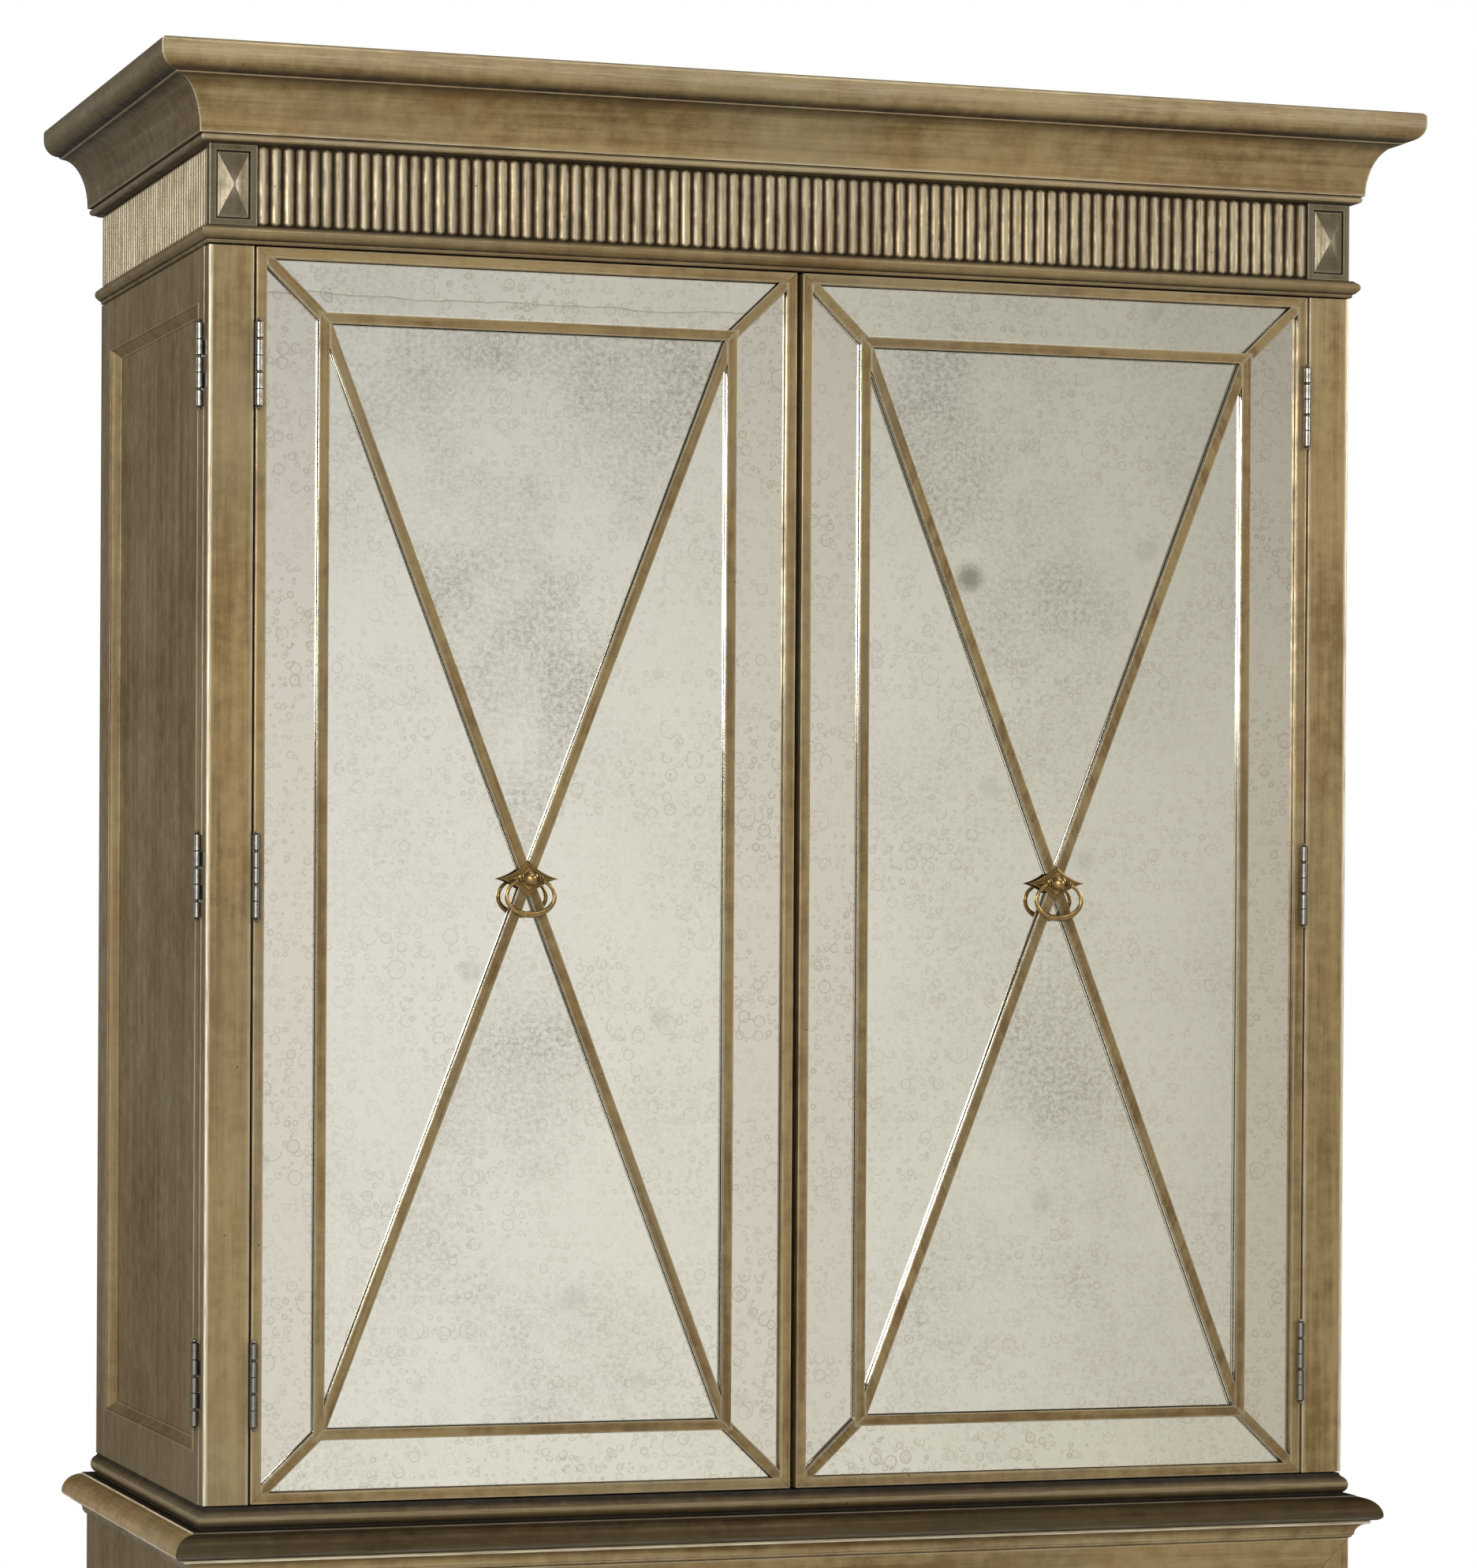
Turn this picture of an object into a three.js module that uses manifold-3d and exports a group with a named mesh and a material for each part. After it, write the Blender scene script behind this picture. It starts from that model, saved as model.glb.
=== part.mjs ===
// A two-part armoire: a mirrored upper cabinet with double-hinged wrap-around doors, standing on a
// lower case with two drawers. Millimetres, +Z up, front facing -Y, origin under the middle.
import * as THREE from "three";
import Module from "manifold-3d";

const wasm = await Module();
wasm.setup();
const { Manifold, CrossSection, Mesh: SolidMesh } = wasm;

// ---- overall sizes -------------------------------------------------------------------------
const HALF_WIDTH = 566.5; // half of the upper cabinet, outside to outside
const CABINET_DEPTH = 503; // door fronts to the back of the upper cabinet
const REAR_OVERHANG = 17; // the cornice, waist and lower case run this much further back
const CORNICE_OUT = 56; // how far the cornice stands out from the cabinet
const LOWER_OUT = 5.8; // how far the lower case stands out from the upper cabinet
const FRONT = -(CABINET_DEPTH + REAR_OVERHANG - CORNICE_OUT) / 2; // plane of the door fronts
const CABINET_BACK = FRONT + CABINET_DEPTH;
const BACK = CABINET_BACK + REAR_OVERHANG;
const JOINT = 0.25; // glue line between two fixed pieces

// ---- heights above the floor ---------------------------------------------------------------
const PLINTH_TOP = 90;
const COVE_BOTTOM = 747.5;
const COVE_TOP = 765.5;
const WAIST_TOP = 789.5;
const BASE_TOP = 810.5;
const DOOR_BOTTOM = 812;
const DOOR_TOP = 1957;
const NECK_BOTTOM = 1958.5;
const NECK_TOP = 1974.75;
const FRIEZE_TOP = 2048.75;
const CORNICE_TOP = 2134;

// ---- doors and folding stiles --------------------------------------------------------------
const STILE_WIDTH = 42;
const DOOR_THICK = 20;
const HINGE_GAP = 2; // closed gap along each hinged edge
const MEETING_GAP = 5.6; // gap between the two doors
const RIM = 10; // raised rim round each door
const BORDER_SIDE = 49; // width of the upright border panes
const BORDER_END = 47; // height of the top and bottom border panes
const BAR_WIDTH = 9.8;
const BAR_DEEP = 6.7; // how far the glazing bars stand off the mirror
const MIRROR_THICK = 4;
const DOOR_X0 = -HALF_WIDTH + STILE_WIDTH + HINGE_GAP;
const DOOR_X1 = -MEETING_GAP / 2;
const DOOR_MID_X = (DOOR_X0 + DOOR_X1) / 2;
const DOOR_MID_Z = (DOOR_BOTTOM + DOOR_TOP) / 2;

// ---- case panels ---------------------------------------------------------------------------
const SIDE_THICK = 22;
const BACK_THICK = 8;
const PANEL_DEEP = 9.5; // sinking of the flat panel in each case side
const PANEL_SLOPE = 10; // width of the sloping moulding round it
const FLOOR_RAISE = 3; // the cabinet floor stands this much above the edge the sides stand on
const SHELF_THICK = 20;
const SHELF_HEIGHTS = [1190, 1570];
const FRIEZE_THICK = 18;
const BLOCK_WIDTH = 44.3;
const BLOCK_THICK = 12;

// ---- hinges --------------------------------------------------------------------------------
const BARREL_R = 3.6;
const BARREL_OFF = BARREL_R + 0.3; // barrel axis to the face it stands on
const BARREL_LONG = 76;
const BARREL_IN = 1.6; // a door's barrel axis, in from the door's hinged edge
const CASE_LEAF = 24; // width of the leaf between a folding stile and the case side
const HINGE_HEIGHTS = [921, 1384.5, 1850];

// ---- ring pulls ----------------------------------------------------------------------------
const PLATE_HALF_WIDE = 28.7;
const PLATE_HALF_HIGH = 16.8;
const BALL_R = 7.2;
const PULL_OFF = 8; // pivot axis to the face the plate is fixed on
const RING_HALF_WIDE = 22.9;
const RING_HALF_HIGH = 17;
const RING_TOP_R = 1.8;
const RING_FOOT_R = 3;

// ---- lower case and drawers ----------------------------------------------------------------
const FRAME_THICK = 22;
const FRAME_RAIL = 45;
const FRAME_MID_RAIL = 30;
const DRAWER_GAP = 2;
const DRAWER_FRONT_THICK = 20;
const DRAWER_WALL = 12;
const DRAWER_DEEP = 440;
const DRAWER_PULL_X = 262.75;

// ---- solids --------------------------------------------------------------------------------
const block = (x0, x1, y0, y1, z0, z1) =>
  Manifold.cube([x1 - x0, y1 - y0, z1 - z0]).translate([x0, y0, z0]);

// A closed solid from rows of points: each row is one loop, joined to the next, with flat ends.
function loft(rows) {
  const n = rows[0].length;
  const points = rows.flat(2);
  const faces = [];
  for (let i = 0; i + 1 < rows.length; i++)
    for (let j = 0; j < n; j++) {
      const a = i * n + j;
      const b = i * n + ((j + 1) % n);
      faces.push(a, b, b + n, a, b + n, a + n);
    }
  const last = (rows.length - 1) * n;
  for (let j = 1; j + 1 < n; j++) {
    faces.push(0, j + 1, j);
    faces.push(last, last + j, last + j + 1);
  }
  return new Manifold(
    new SolidMesh({
      numProp: 3,
      vertProperties: new Float32Array(points),
      triVerts: new Uint32Array(faces),
    }),
  );
}

// A board with a moulded edge on its front and sides. The profile lists [stand-out, height].
const mouldedBoard = (profile, back) =>
  loft(
    profile.map(([out, z]) => [
      [-HALF_WIDTH - out, FRONT - out, z],
      [HALF_WIDTH + out, FRONT - out, z],
      [HALF_WIDTH + out, back, z],
      [-HALF_WIDTH - out, back, z],
    ]),
  );

// Points of an elliptical arc in a profile, angles in degrees.
function arc(cx, cz, rx, rz, from, to, steps) {
  const points = [];
  for (let i = 0; i <= steps; i++) {
    const a = ((from + ((to - from) * i) / steps) * Math.PI) / 180;
    points.push([cx + rx * Math.cos(a), cz + rz * Math.sin(a)]);
  }
  return points;
}

const mirrored = (solid) => solid.mirror([1, 0, 0]);

// ---- case panels ---------------------------------------------------------------------------
// A case side on the left, with a flat panel sunk in its outer face.
function caseSide(outerX, y0, y1, z0, z1, panel) {
  const [py0, py1, pz0, pz1] = panel;
  const rect = (x, inset) => [
    [x, py0 + inset, pz0 + inset],
    [x, py0 + inset, pz1 - inset],
    [x, py1 - inset, pz1 - inset],
    [x, py1 - inset, pz0 + inset],
  ];
  const pocket = Manifold.hull([
    ...rect(outerX - 1, -1),
    ...rect(outerX + PANEL_DEEP, PANEL_SLOPE),
  ]);
  return block(outerX, outerX + SIDE_THICK, y0, y1, z0, z1).subtract(pocket);
}

// A board along X from x0 to x1 with upright half-round reeds on its front face, which is y = 0.
function reededBoard(x0, x1, count, thick, high) {
  const pitch = (x1 - x0) / count;
  const outline = [];
  for (let i = 0; i < count; i++)
    for (const [across, out] of [
      [0.06, 3],
      [0.14, 1.4],
      [0.3, 0.35],
      [0.5, 0],
      [0.7, 0.35],
      [0.86, 1.4],
      [0.94, 3],
    ])
      outline.push([x0 + (i + across) * pitch, out]);
  outline.push([x1, 3], [x1, thick], [x0, thick], [x0, 3]);
  return new CrossSection([outline]).extrude(high);
}

// ---- hardware ------------------------------------------------------------------------------
// A hinge barrel of five knuckles with a ball tip at each end, standing at the origin.
function barrel() {
  const half = BARREL_LONG / 2;
  const knuckle = BARREL_LONG / 5;
  const outline = [[0, -half - 3.6]];
  outline.push([1.3, -half - 3.3], [2, -half - 2.2], [1.9, -half - 1], [1.5, -half - 0.4]);
  for (let i = 0; i < 5; i++) {
    const z = -half + i * knuckle;
    outline.push([BARREL_R - 0.7, z], [BARREL_R, z + 0.5]);
    outline.push([BARREL_R, z + knuckle - 0.5], [BARREL_R - 0.7, z + knuckle - 0.05]);
  }
  outline.push([1.5, half + 0.4], [1.9, half + 1], [2, half + 2.2], [1.3, half + 3.3]);
  outline.push([0, half + 3.6]);
  return new CrossSection([outline]).revolve(12);
}

// A hinge on the left: its barrel, and the leaf let into the gap beside it.
const hinge = (x, y, z, leaf) =>
  barrel()
    .translate([x, y, z])
    .add(block(...leaf, z - BARREL_LONG / 2 + 1, z + BARREL_LONG / 2 - 1));

// The stepped diamond plate of a ring pull, its four sides hollowed, with the ball and its collars.
function pullPlate() {
  const side = (ax, az, bx, bz, hollow) => {
    const points = [];
    for (let i = 0; i < 6; i++) {
      const t = i / 6;
      const dip = hollow * 4 * t * (1 - t);
      const x = ax + (bx - ax) * t;
      const z = az + (bz - az) * t;
      points.push([x - Math.sign(ax + bx) * dip * 0.5, z - Math.sign(az + bz) * dip]);
    }
    return points;
  };
  const diamond = (w, h, hollow) =>
    new CrossSection([
      [
        ...side(w, 0, 0, h, hollow),
        ...side(0, h, -w, 0, hollow),
        ...side(-w, 0, 0, -h, hollow),
        ...side(0, -h, w, 0, hollow),
      ],
    ]);
  const upright = (section, thick) => section.extrude(thick).rotate([90, 0, 0]);
  const plate = upright(diamond(PLATE_HALF_WIDE, PLATE_HALF_HIGH, 2.4), 1.6);
  const step = upright(diamond(PLATE_HALF_WIDE - 6, PLATE_HALF_HIGH - 4, 1.6), 2.4);
  const outline = [[0, -11.4]];
  outline.push([3, -11.4], [3.6, -10.6], [3.6, -9.8], [2.6, -9.2]);
  outline.push([3.9, -8.4], [3.9, -7.6], [3.2, -7]);
  outline.push(...arc(0, 0, BALL_R, BALL_R, -58, 58, 6));
  outline.push([3.2, 7], [3.9, 7.6], [3.9, 8.4], [2.6, 9.2], [3.6, 9.8], [3.6, 10.6], [3, 11.4]);
  outline.push([0, 11.4]);
  const ball = new CrossSection([outline])
    .revolve(16)
    .rotate([0, 90, 0])
    .translate([0, -PULL_OFF + JOINT, 0]);
  return plate.add(step).add(ball).translate([0, -JOINT, 0]);
}

// The ring of a pull: an oval, open at the top where its ends meet the collars, thicker below.
function pullRing() {
  const rows = [];
  const steps = 26;
  const sides = 8;
  const from = 122; // degrees round the oval, from the left collar down and up to the right one
  const sweep = 296;
  for (let i = 0; i <= steps; i++) {
    const a = ((from + (sweep * i) / steps) * Math.PI) / 180;
    const down = (1 - Math.sin(a)) / 2;
    const r = RING_TOP_R + (RING_FOOT_R - RING_TOP_R) * Math.pow(down, 3);
    const cx = RING_HALF_WIDE * Math.cos(a);
    const cz = RING_HALF_HIGH * (Math.sin(a) - 0.96);
    const nx = RING_HALF_HIGH * Math.cos(a);
    const nz = RING_HALF_WIDE * Math.sin(a);
    const len = Math.hypot(nx, nz);
    const row = [];
    for (let k = 0; k < sides; k++) {
      const b = (k / sides) * 2 * Math.PI;
      const radial = r * Math.cos(b);
      row.push([cx + (radial * nx) / len, r * Math.sin(b), cz + (radial * nz) / len]);
    }
    rows.push(row);
  }
  return loft(rows);
}

// ---- pieces of the door on the left --------------------------------------------------------
function doorFrame() {
  const board = block(DOOR_X0, DOOR_X1, FRONT, FRONT + DOOR_THICK, DOOR_BOTTOM, DOOR_TOP);
  const recess = BAR_DEEP + 2 * JOINT + MIRROR_THICK;
  const pocket = block(
    DOOR_X0 + RIM,
    DOOR_X1 - RIM,
    FRONT - 1,
    FRONT + recess,
    DOOR_BOTTOM + RIM,
    DOOR_TOP - RIM,
  );
  return board.subtract(pocket);
}

const doorMirror = () =>
  block(
    DOOR_X0 + RIM + JOINT,
    DOOR_X1 - RIM - JOINT,
    FRONT + BAR_DEEP + JOINT,
    FRONT + BAR_DEEP + JOINT + MIRROR_THICK,
    DOOR_BOTTOM + RIM + JOINT,
    DOOR_TOP - RIM - JOINT,
  );

// The glazing bars: an inner frame, a mitre bar out to each corner, and the cross in the middle.
function doorLattice() {
  const bar = (ax, az, bx, bz) => {
    const length = Math.hypot(bx - ax, bz - az);
    const turn = (Math.atan2(bz - az, bx - ax) * 180) / Math.PI;
    return Manifold.cube([length, BAR_DEEP, BAR_WIDTH])
      .translate([0, 0, -BAR_WIDTH / 2])
      .rotate([0, -turn, 0])
      .translate([ax, FRONT, az]);
  };
  const outX0 = DOOR_X0 + RIM;
  const outX1 = DOOR_X1 - RIM;
  const outZ0 = DOOR_BOTTOM + RIM;
  const outZ1 = DOOR_TOP - RIM;
  const half = BAR_WIDTH / 2;
  const x0 = outX0 + BORDER_SIDE + half;
  const x1 = outX1 - BORDER_SIDE - half;
  const z0 = outZ0 + BORDER_END + half;
  const z1 = outZ1 - BORDER_END - half;
  let bars = bar(x0 - half, z0, x1 + half, z0)
    .add(bar(x0 - half, z1, x1 + half, z1))
    .add(bar(x0, z0 - half, x0, z1 + half))
    .add(bar(x1, z0 - half, x1, z1 + half))
    .add(bar(x0, z0, x1, z1))
    .add(bar(x0, z1, x1, z0));
  for (const [ax, az, bx, bz] of [
    [x0, z0, outX0, outZ0],
    [x0, z1, outX0, outZ1],
    [x1, z0, outX1, outZ0],
    [x1, z1, outX1, outZ1],
  ])
    bars = bars.add(bar(ax, az, bx + (bx - ax) / 4, bz + (bz - az) / 4));
  return bars.intersect(
    block(
      outX0 + JOINT,
      outX1 - JOINT,
      FRONT - 1,
      FRONT + DOOR_THICK,
      outZ0 + JOINT,
      outZ1 - JOINT,
    ),
  );
}

// ---- drawers -------------------------------------------------------------------------------
const LOWER_FRONT = FRONT - LOWER_OUT;
const LOWER_HALF = HALF_WIDTH + LOWER_OUT;
const OPENING_HALF = LOWER_HALF - FRAME_RAIL;
const OPENING_BOTTOM = PLINTH_TOP + FRAME_RAIL;
const OPENING_TOP = COVE_BOTTOM - FRAME_RAIL;
const OPENING_HIGH = (OPENING_TOP - OPENING_BOTTOM - FRAME_MID_RAIL) / 2;
const drawerBottom = (row) => OPENING_BOTTOM + row * (OPENING_HIGH + FRAME_MID_RAIL);

function drawerFront(row) {
  const z = drawerBottom(row);
  const panel = block(
    -OPENING_HALF + DRAWER_GAP,
    OPENING_HALF - DRAWER_GAP,
    LOWER_FRONT,
    LOWER_FRONT + DRAWER_FRONT_THICK,
    z + DRAWER_GAP,
    z + OPENING_HIGH - DRAWER_GAP,
  );
  const inset = DRAWER_GAP + RIM;
  const field = block(
    -OPENING_HALF + inset,
    OPENING_HALF - inset,
    LOWER_FRONT - 1,
    LOWER_FRONT + 3,
    z + inset,
    z + OPENING_HIGH - inset,
  );
  return panel.subtract(field);
}

function drawerBox(row) {
  const z = drawerBottom(row) + 14;
  const high = OPENING_HIGH - 50;
  const half = OPENING_HALF - 14;
  const y = LOWER_FRONT + DRAWER_FRONT_THICK + JOINT;
  const outer = block(-half, half, y, y + DRAWER_DEEP, z, z + high);
  const inner = block(
    -half + DRAWER_WALL,
    half - DRAWER_WALL,
    y + DRAWER_WALL,
    y + DRAWER_DEEP - DRAWER_WALL,
    z + DRAWER_WALL,
    z + high + 1,
  );
  return outer.subtract(inner);
}

// ---- mouldings -----------------------------------------------------------------------------
const CORNICE_PROFILE = [
  [0, FRIEZE_TOP + JOINT],
  [3, FRIEZE_TOP + 1.3],
  [5.5, FRIEZE_TOP + 1.7],
  [8, FRIEZE_TOP + 2.8],
  [9.3, FRIEZE_TOP + 5],
  [9.5, FRIEZE_TOP + 7.6],
  ...arc(38, 2057, -26.5, 48, 0, 90, 10),
  [39.6, 2105.6],
  ...arc(41.5, 2123, 14.5, 16, -90, 0, 6),
  ...arc(51, 2129, 5, 5, 0, 90, 4),
];
const NECK_PROFILE = [
  [2, NECK_BOTTOM],
  [2.4, NECK_BOTTOM + 3],
  [4, NECK_BOTTOM + 3.4],
  ...arc(3.2, 1968, 5.3, 5.2, -80, 80, 8),
  [3, NECK_TOP],
];
const BASE_PROFILE = [
  [2, WAIST_TOP + JOINT],
  ...arc(-2, 799.4, 7.5, 8.4, -75, 75, 8),
  [-1, 809],
  [-1, BASE_TOP],
];
const WAIST_PROFILE = [
  [21.5, COVE_TOP + JOINT],
  [27.5, 766.8],
  [30.6, 768.6],
  ...arc(12, 771, 19.5, 17, 0, 88, 9),
  [11.2, 788.4],
  [10.6, WAIST_TOP],
];
const COVE_PROFILE = [
  [LOWER_OUT + 0.6, COVE_BOTTOM],
  [8.4, COVE_BOTTOM + 1.6],
  [9, COVE_BOTTOM + 3.4],
  ...arc(22, COVE_BOTTOM + 3.6, -12, 11.4, 0, 86, 6),
  [22, COVE_BOTTOM + 15.2],
  [22, COVE_TOP],
];
const PLINTH_PROFILE = [
  [18, 0],
  [18, 66],
  [17, 68],
  ...arc(6, 70, 10.5, 15, 0, 82, 6),
  [7, PLINTH_TOP],
];

// The cornice as one run, hollow inside, before it is mitred into three.
const corniceRun = mouldedBoard(CORNICE_PROFILE, BACK).subtract(
  block(-HALF_WIDTH + 20, HALF_WIDTH - 20, FRONT + 20, BACK + 1, 2000, 2200),
);
// The mitres are upright planes at 45 degrees through the cabinet's front corners.
const MITRE = Math.SQRT1_2;
const mitreAt = (-HALF_WIDTH - FRONT) * MITRE;
const corniceLeft = corniceRun.trimByPlane([-MITRE, MITRE, 0], -mitreAt + JOINT / 2);
const corniceFront = corniceRun
  .trimByPlane([MITRE, -MITRE, 0], mitreAt + JOINT / 2)
  .trimByPlane([-MITRE, -MITRE, 0], mitreAt + JOINT / 2);

// ---- the assembly --------------------------------------------------------------------------
const PAINT = 0x8d7a55;
const PAINT_SIDE = 0x6f6750;
const MIRROR = 0xd2d0c6;
const BRASS = 0x9c7637;
const STEEL = 0x6d6c66;
const BOARD = 0x4b3d2c;

const root = new THREE.Group();
root.name = "armoire";

function put(name, solid, colour, metalness = 0.3, roughness = 0.5) {
  const made = solid.getMesh();
  const count = made.numVert;
  const points = new Float32Array(count * 3);
  for (let i = 0; i < count; i++)
    points.set(made.vertProperties.subarray(i * made.numProp, i * made.numProp + 3), i * 3);
  const geometry = new THREE.BufferGeometry();
  geometry.setAttribute("position", new THREE.BufferAttribute(points, 3));
  geometry.setIndex(new THREE.BufferAttribute(made.triVerts, 1));
  geometry.computeVertexNormals();
  const material = new THREE.MeshStandardMaterial({ color: colour, metalness, roughness });
  const mesh = new THREE.Mesh(geometry, material);
  mesh.name = name;
  root.add(mesh);
}

function putPair(name, solid, colour, metalness, roughness) {
  put(name + "_left", solid, colour, metalness, roughness);
  put(name + "_right", mirrored(solid), colour, metalness, roughness);
}

// Upper cabinet.
putPair(
  "upper_side",
  caseSide(
    -HALF_WIDTH,
    FRONT + DOOR_THICK + HINGE_GAP,
    CABINET_BACK,
    BASE_TOP + JOINT,
    NECK_BOTTOM - JOINT,
    [FRONT + 44, FRONT + 453, DOOR_BOTTOM + 46, DOOR_BOTTOM + 1097],
  ),
  PAINT_SIDE,
);
const insideHalf = HALF_WIDTH - SIDE_THICK - JOINT;
const panelFront = CABINET_BACK - BACK_THICK;
put(
  "upper_back",
  block(
    -insideHalf,
    insideHalf,
    panelFront,
    CABINET_BACK,
    BASE_TOP + JOINT,
    CORNICE_TOP - 20 - JOINT,
  ),
  BOARD,
);
put(
  "base_board",
  mouldedBoard(BASE_PROFILE, CABINET_BACK).add(
    block(
      -insideHalf,
      insideHalf,
      FRONT + DOOR_THICK + HINGE_GAP,
      panelFront - JOINT,
      WAIST_TOP + 5,
      BASE_TOP + FLOOR_RAISE,
    ),
  ),
  PAINT,
);
put("neck_board", mouldedBoard(NECK_PROFILE, panelFront - JOINT), PAINT);
SHELF_HEIGHTS.forEach((z, i) =>
  put(
    ["shelf_lower", "shelf_upper"][i],
    block(
      -insideHalf + JOINT,
      insideHalf - JOINT,
      FRONT + 45,
      panelFront - JOINT,
      z,
      z + SHELF_THICK,
    ),
    BOARD,
  ),
);

// Frieze: corner blocks with a raised pyramid, and reeded boards between and along the sides.
const friezeBottom = NECK_TOP + JOINT;
const friezeHigh = FRIEZE_TOP - friezeBottom;
const blockMidX = -HALF_WIDTH + BLOCK_WIDTH / 2;
const friezeMidZ = friezeBottom + friezeHigh / 2;
const squareAt = (y, w, h) => [
  [blockMidX - w, y, friezeMidZ - h],
  [blockMidX + w, y, friezeMidZ - h],
  [blockMidX + w, y, friezeMidZ + h],
  [blockMidX - w, y, friezeMidZ + h],
];
const cornerBlock = block(
  -HALF_WIDTH,
  -HALF_WIDTH + BLOCK_WIDTH,
  FRONT,
  FRONT + BLOCK_THICK,
  friezeBottom,
  FRIEZE_TOP,
)
  .subtract(Manifold.hull([...squareAt(FRONT - 1, 15.5, 31), ...squareAt(FRONT + 2.5, 14.8, 30.3)]))
  .add(
    Manifold.hull([
      ...squareAt(FRONT + 3, 14.3, 29.8),
      ...squareAt(FRONT + 1.5, 14.3, 29.8),
      [blockMidX, FRONT - 4.5, friezeMidZ],
    ]),
  );
putPair("corner_block", cornerBlock, PAINT);
put(
  "frieze_front",
  reededBoard(
    -HALF_WIDTH + BLOCK_WIDTH + JOINT,
    HALF_WIDTH - BLOCK_WIDTH - JOINT,
    88,
    FRIEZE_THICK,
    friezeHigh,
  ).translate([0, FRONT, friezeBottom]),
  PAINT,
);
putPair(
  "frieze_side",
  reededBoard(0, CABINET_DEPTH - BLOCK_THICK - JOINT, 46, FRIEZE_THICK, friezeHigh)
    .rotate([0, 0, -90])
    .translate([-HALF_WIDTH, CABINET_BACK, friezeBottom]),
  PAINT_SIDE,
);

// Cornice in three mitred lengths, with a cap board closing the top.
put("cornice_front", corniceFront, PAINT);
putPair("cornice_side", corniceLeft, PAINT_SIDE);
put(
  "cornice_cap",
  block(
    -HALF_WIDTH + 20 + JOINT,
    HALF_WIDTH - 20 - JOINT,
    FRONT + 20 + JOINT,
    BACK,
    CORNICE_TOP - 20,
    CORNICE_TOP - 4,
  ),
  BOARD,
);

// Lower case.
put("waist_top", mouldedBoard(WAIST_PROFILE, BACK), PAINT);
put(
  "waist_cove",
  mouldedBoard(COVE_PROFILE, BACK).subtract(
    block(
      -LOWER_HALF - JOINT,
      LOWER_HALF + JOINT,
      LOWER_FRONT - JOINT,
      BACK + 1,
      700,
      COVE_TOP + 1,
    ),
  ),
  PAINT,
);
putPair(
  "lower_side",
  caseSide(
    -LOWER_HALF,
    LOWER_FRONT + FRAME_THICK + JOINT,
    BACK,
    PLINTH_TOP + JOINT,
    COVE_TOP,
    [LOWER_FRONT + 60, BACK - 45, PLINTH_TOP + 50, COVE_BOTTOM - 50],
  ),
  PAINT_SIDE,
);
put(
  "face_frame",
  [0, 1].reduce(
    (frame, row) =>
      frame.subtract(
        block(
          -OPENING_HALF,
          OPENING_HALF,
          LOWER_FRONT - 1,
          LOWER_FRONT + FRAME_THICK + 1,
          drawerBottom(row),
          drawerBottom(row) + OPENING_HIGH,
        ),
      ),
    block(
      -LOWER_HALF,
      LOWER_HALF,
      LOWER_FRONT,
      LOWER_FRONT + FRAME_THICK,
      PLINTH_TOP + JOINT,
      COVE_TOP,
    ),
  ),
  PAINT,
);
const lowerInside = LOWER_HALF - SIDE_THICK - JOINT;
put(
  "lower_back",
  block(-lowerInside, lowerInside, BACK - BACK_THICK, BACK, PLINTH_TOP + JOINT, COVE_TOP),
  BOARD,
);
put(
  "lower_floor",
  block(
    -lowerInside,
    lowerInside,
    LOWER_FRONT + FRAME_THICK + JOINT,
    BACK - BACK_THICK - JOINT,
    PLINTH_TOP + JOINT,
    PLINTH_TOP + 18,
  ),
  BOARD,
);
put(
  "plinth",
  mouldedBoard(PLINTH_PROFILE, BACK).subtract(
    block(-HALF_WIDTH + 20, HALF_WIDTH - 20, FRONT + 20, BACK - 22, -1, PLINTH_TOP + 1),
  ),
  PAINT,
);

// Folding stiles, doors and their hinges.
putPair(
  "fold_stile",
  block(
    -HALF_WIDTH,
    -HALF_WIDTH + STILE_WIDTH,
    FRONT,
    FRONT + DOOR_THICK,
    DOOR_BOTTOM,
    DOOR_TOP,
  ),
  PAINT,
);
putPair("door_frame", doorFrame(), PAINT);
putPair("door_mirror", doorMirror(), MIRROR, 0.9, 0.15);
putPair("door_lattice", doorLattice(), PAINT);
const doorPull = pullPlate().translate([DOOR_MID_X, FRONT, DOOR_MID_Z]);
const ringAt = (x, face, z) => pullRing().translate([x, face - PULL_OFF, z]);
putPair("door_pull", doorPull, BRASS, 0.9, 0.35);
putPair("door_ring", ringAt(DOOR_MID_X, FRONT, DOOR_MID_Z), BRASS, 0.9, 0.35);
HINGE_HEIGHTS.forEach((z, i) => {
  const level = ["low", "mid", "high"][i];
  const caseX = -HALF_WIDTH - BARREL_OFF;
  const caseY = FRONT + DOOR_THICK + HINGE_GAP / 2;
  const caseLeaf = [caseX, caseX + CASE_LEAF, caseY - 0.5, caseY + 0.5];
  putPair("case_hinge_" + level, hinge(caseX, caseY, z, caseLeaf), STEEL, 0.9, 0.4);
  const gapX = DOOR_X0 - HINGE_GAP / 2;
  const doorX = DOOR_X0 + BARREL_IN;
  const doorY = FRONT - BARREL_OFF;
  const doorLeaf = [gapX - 0.5, gapX + 0.5, doorY, FRONT + DOOR_THICK - 2];
  putPair("door_hinge_" + level, hinge(doorX, doorY, z, doorLeaf), STEEL, 0.9, 0.4);
});

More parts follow.
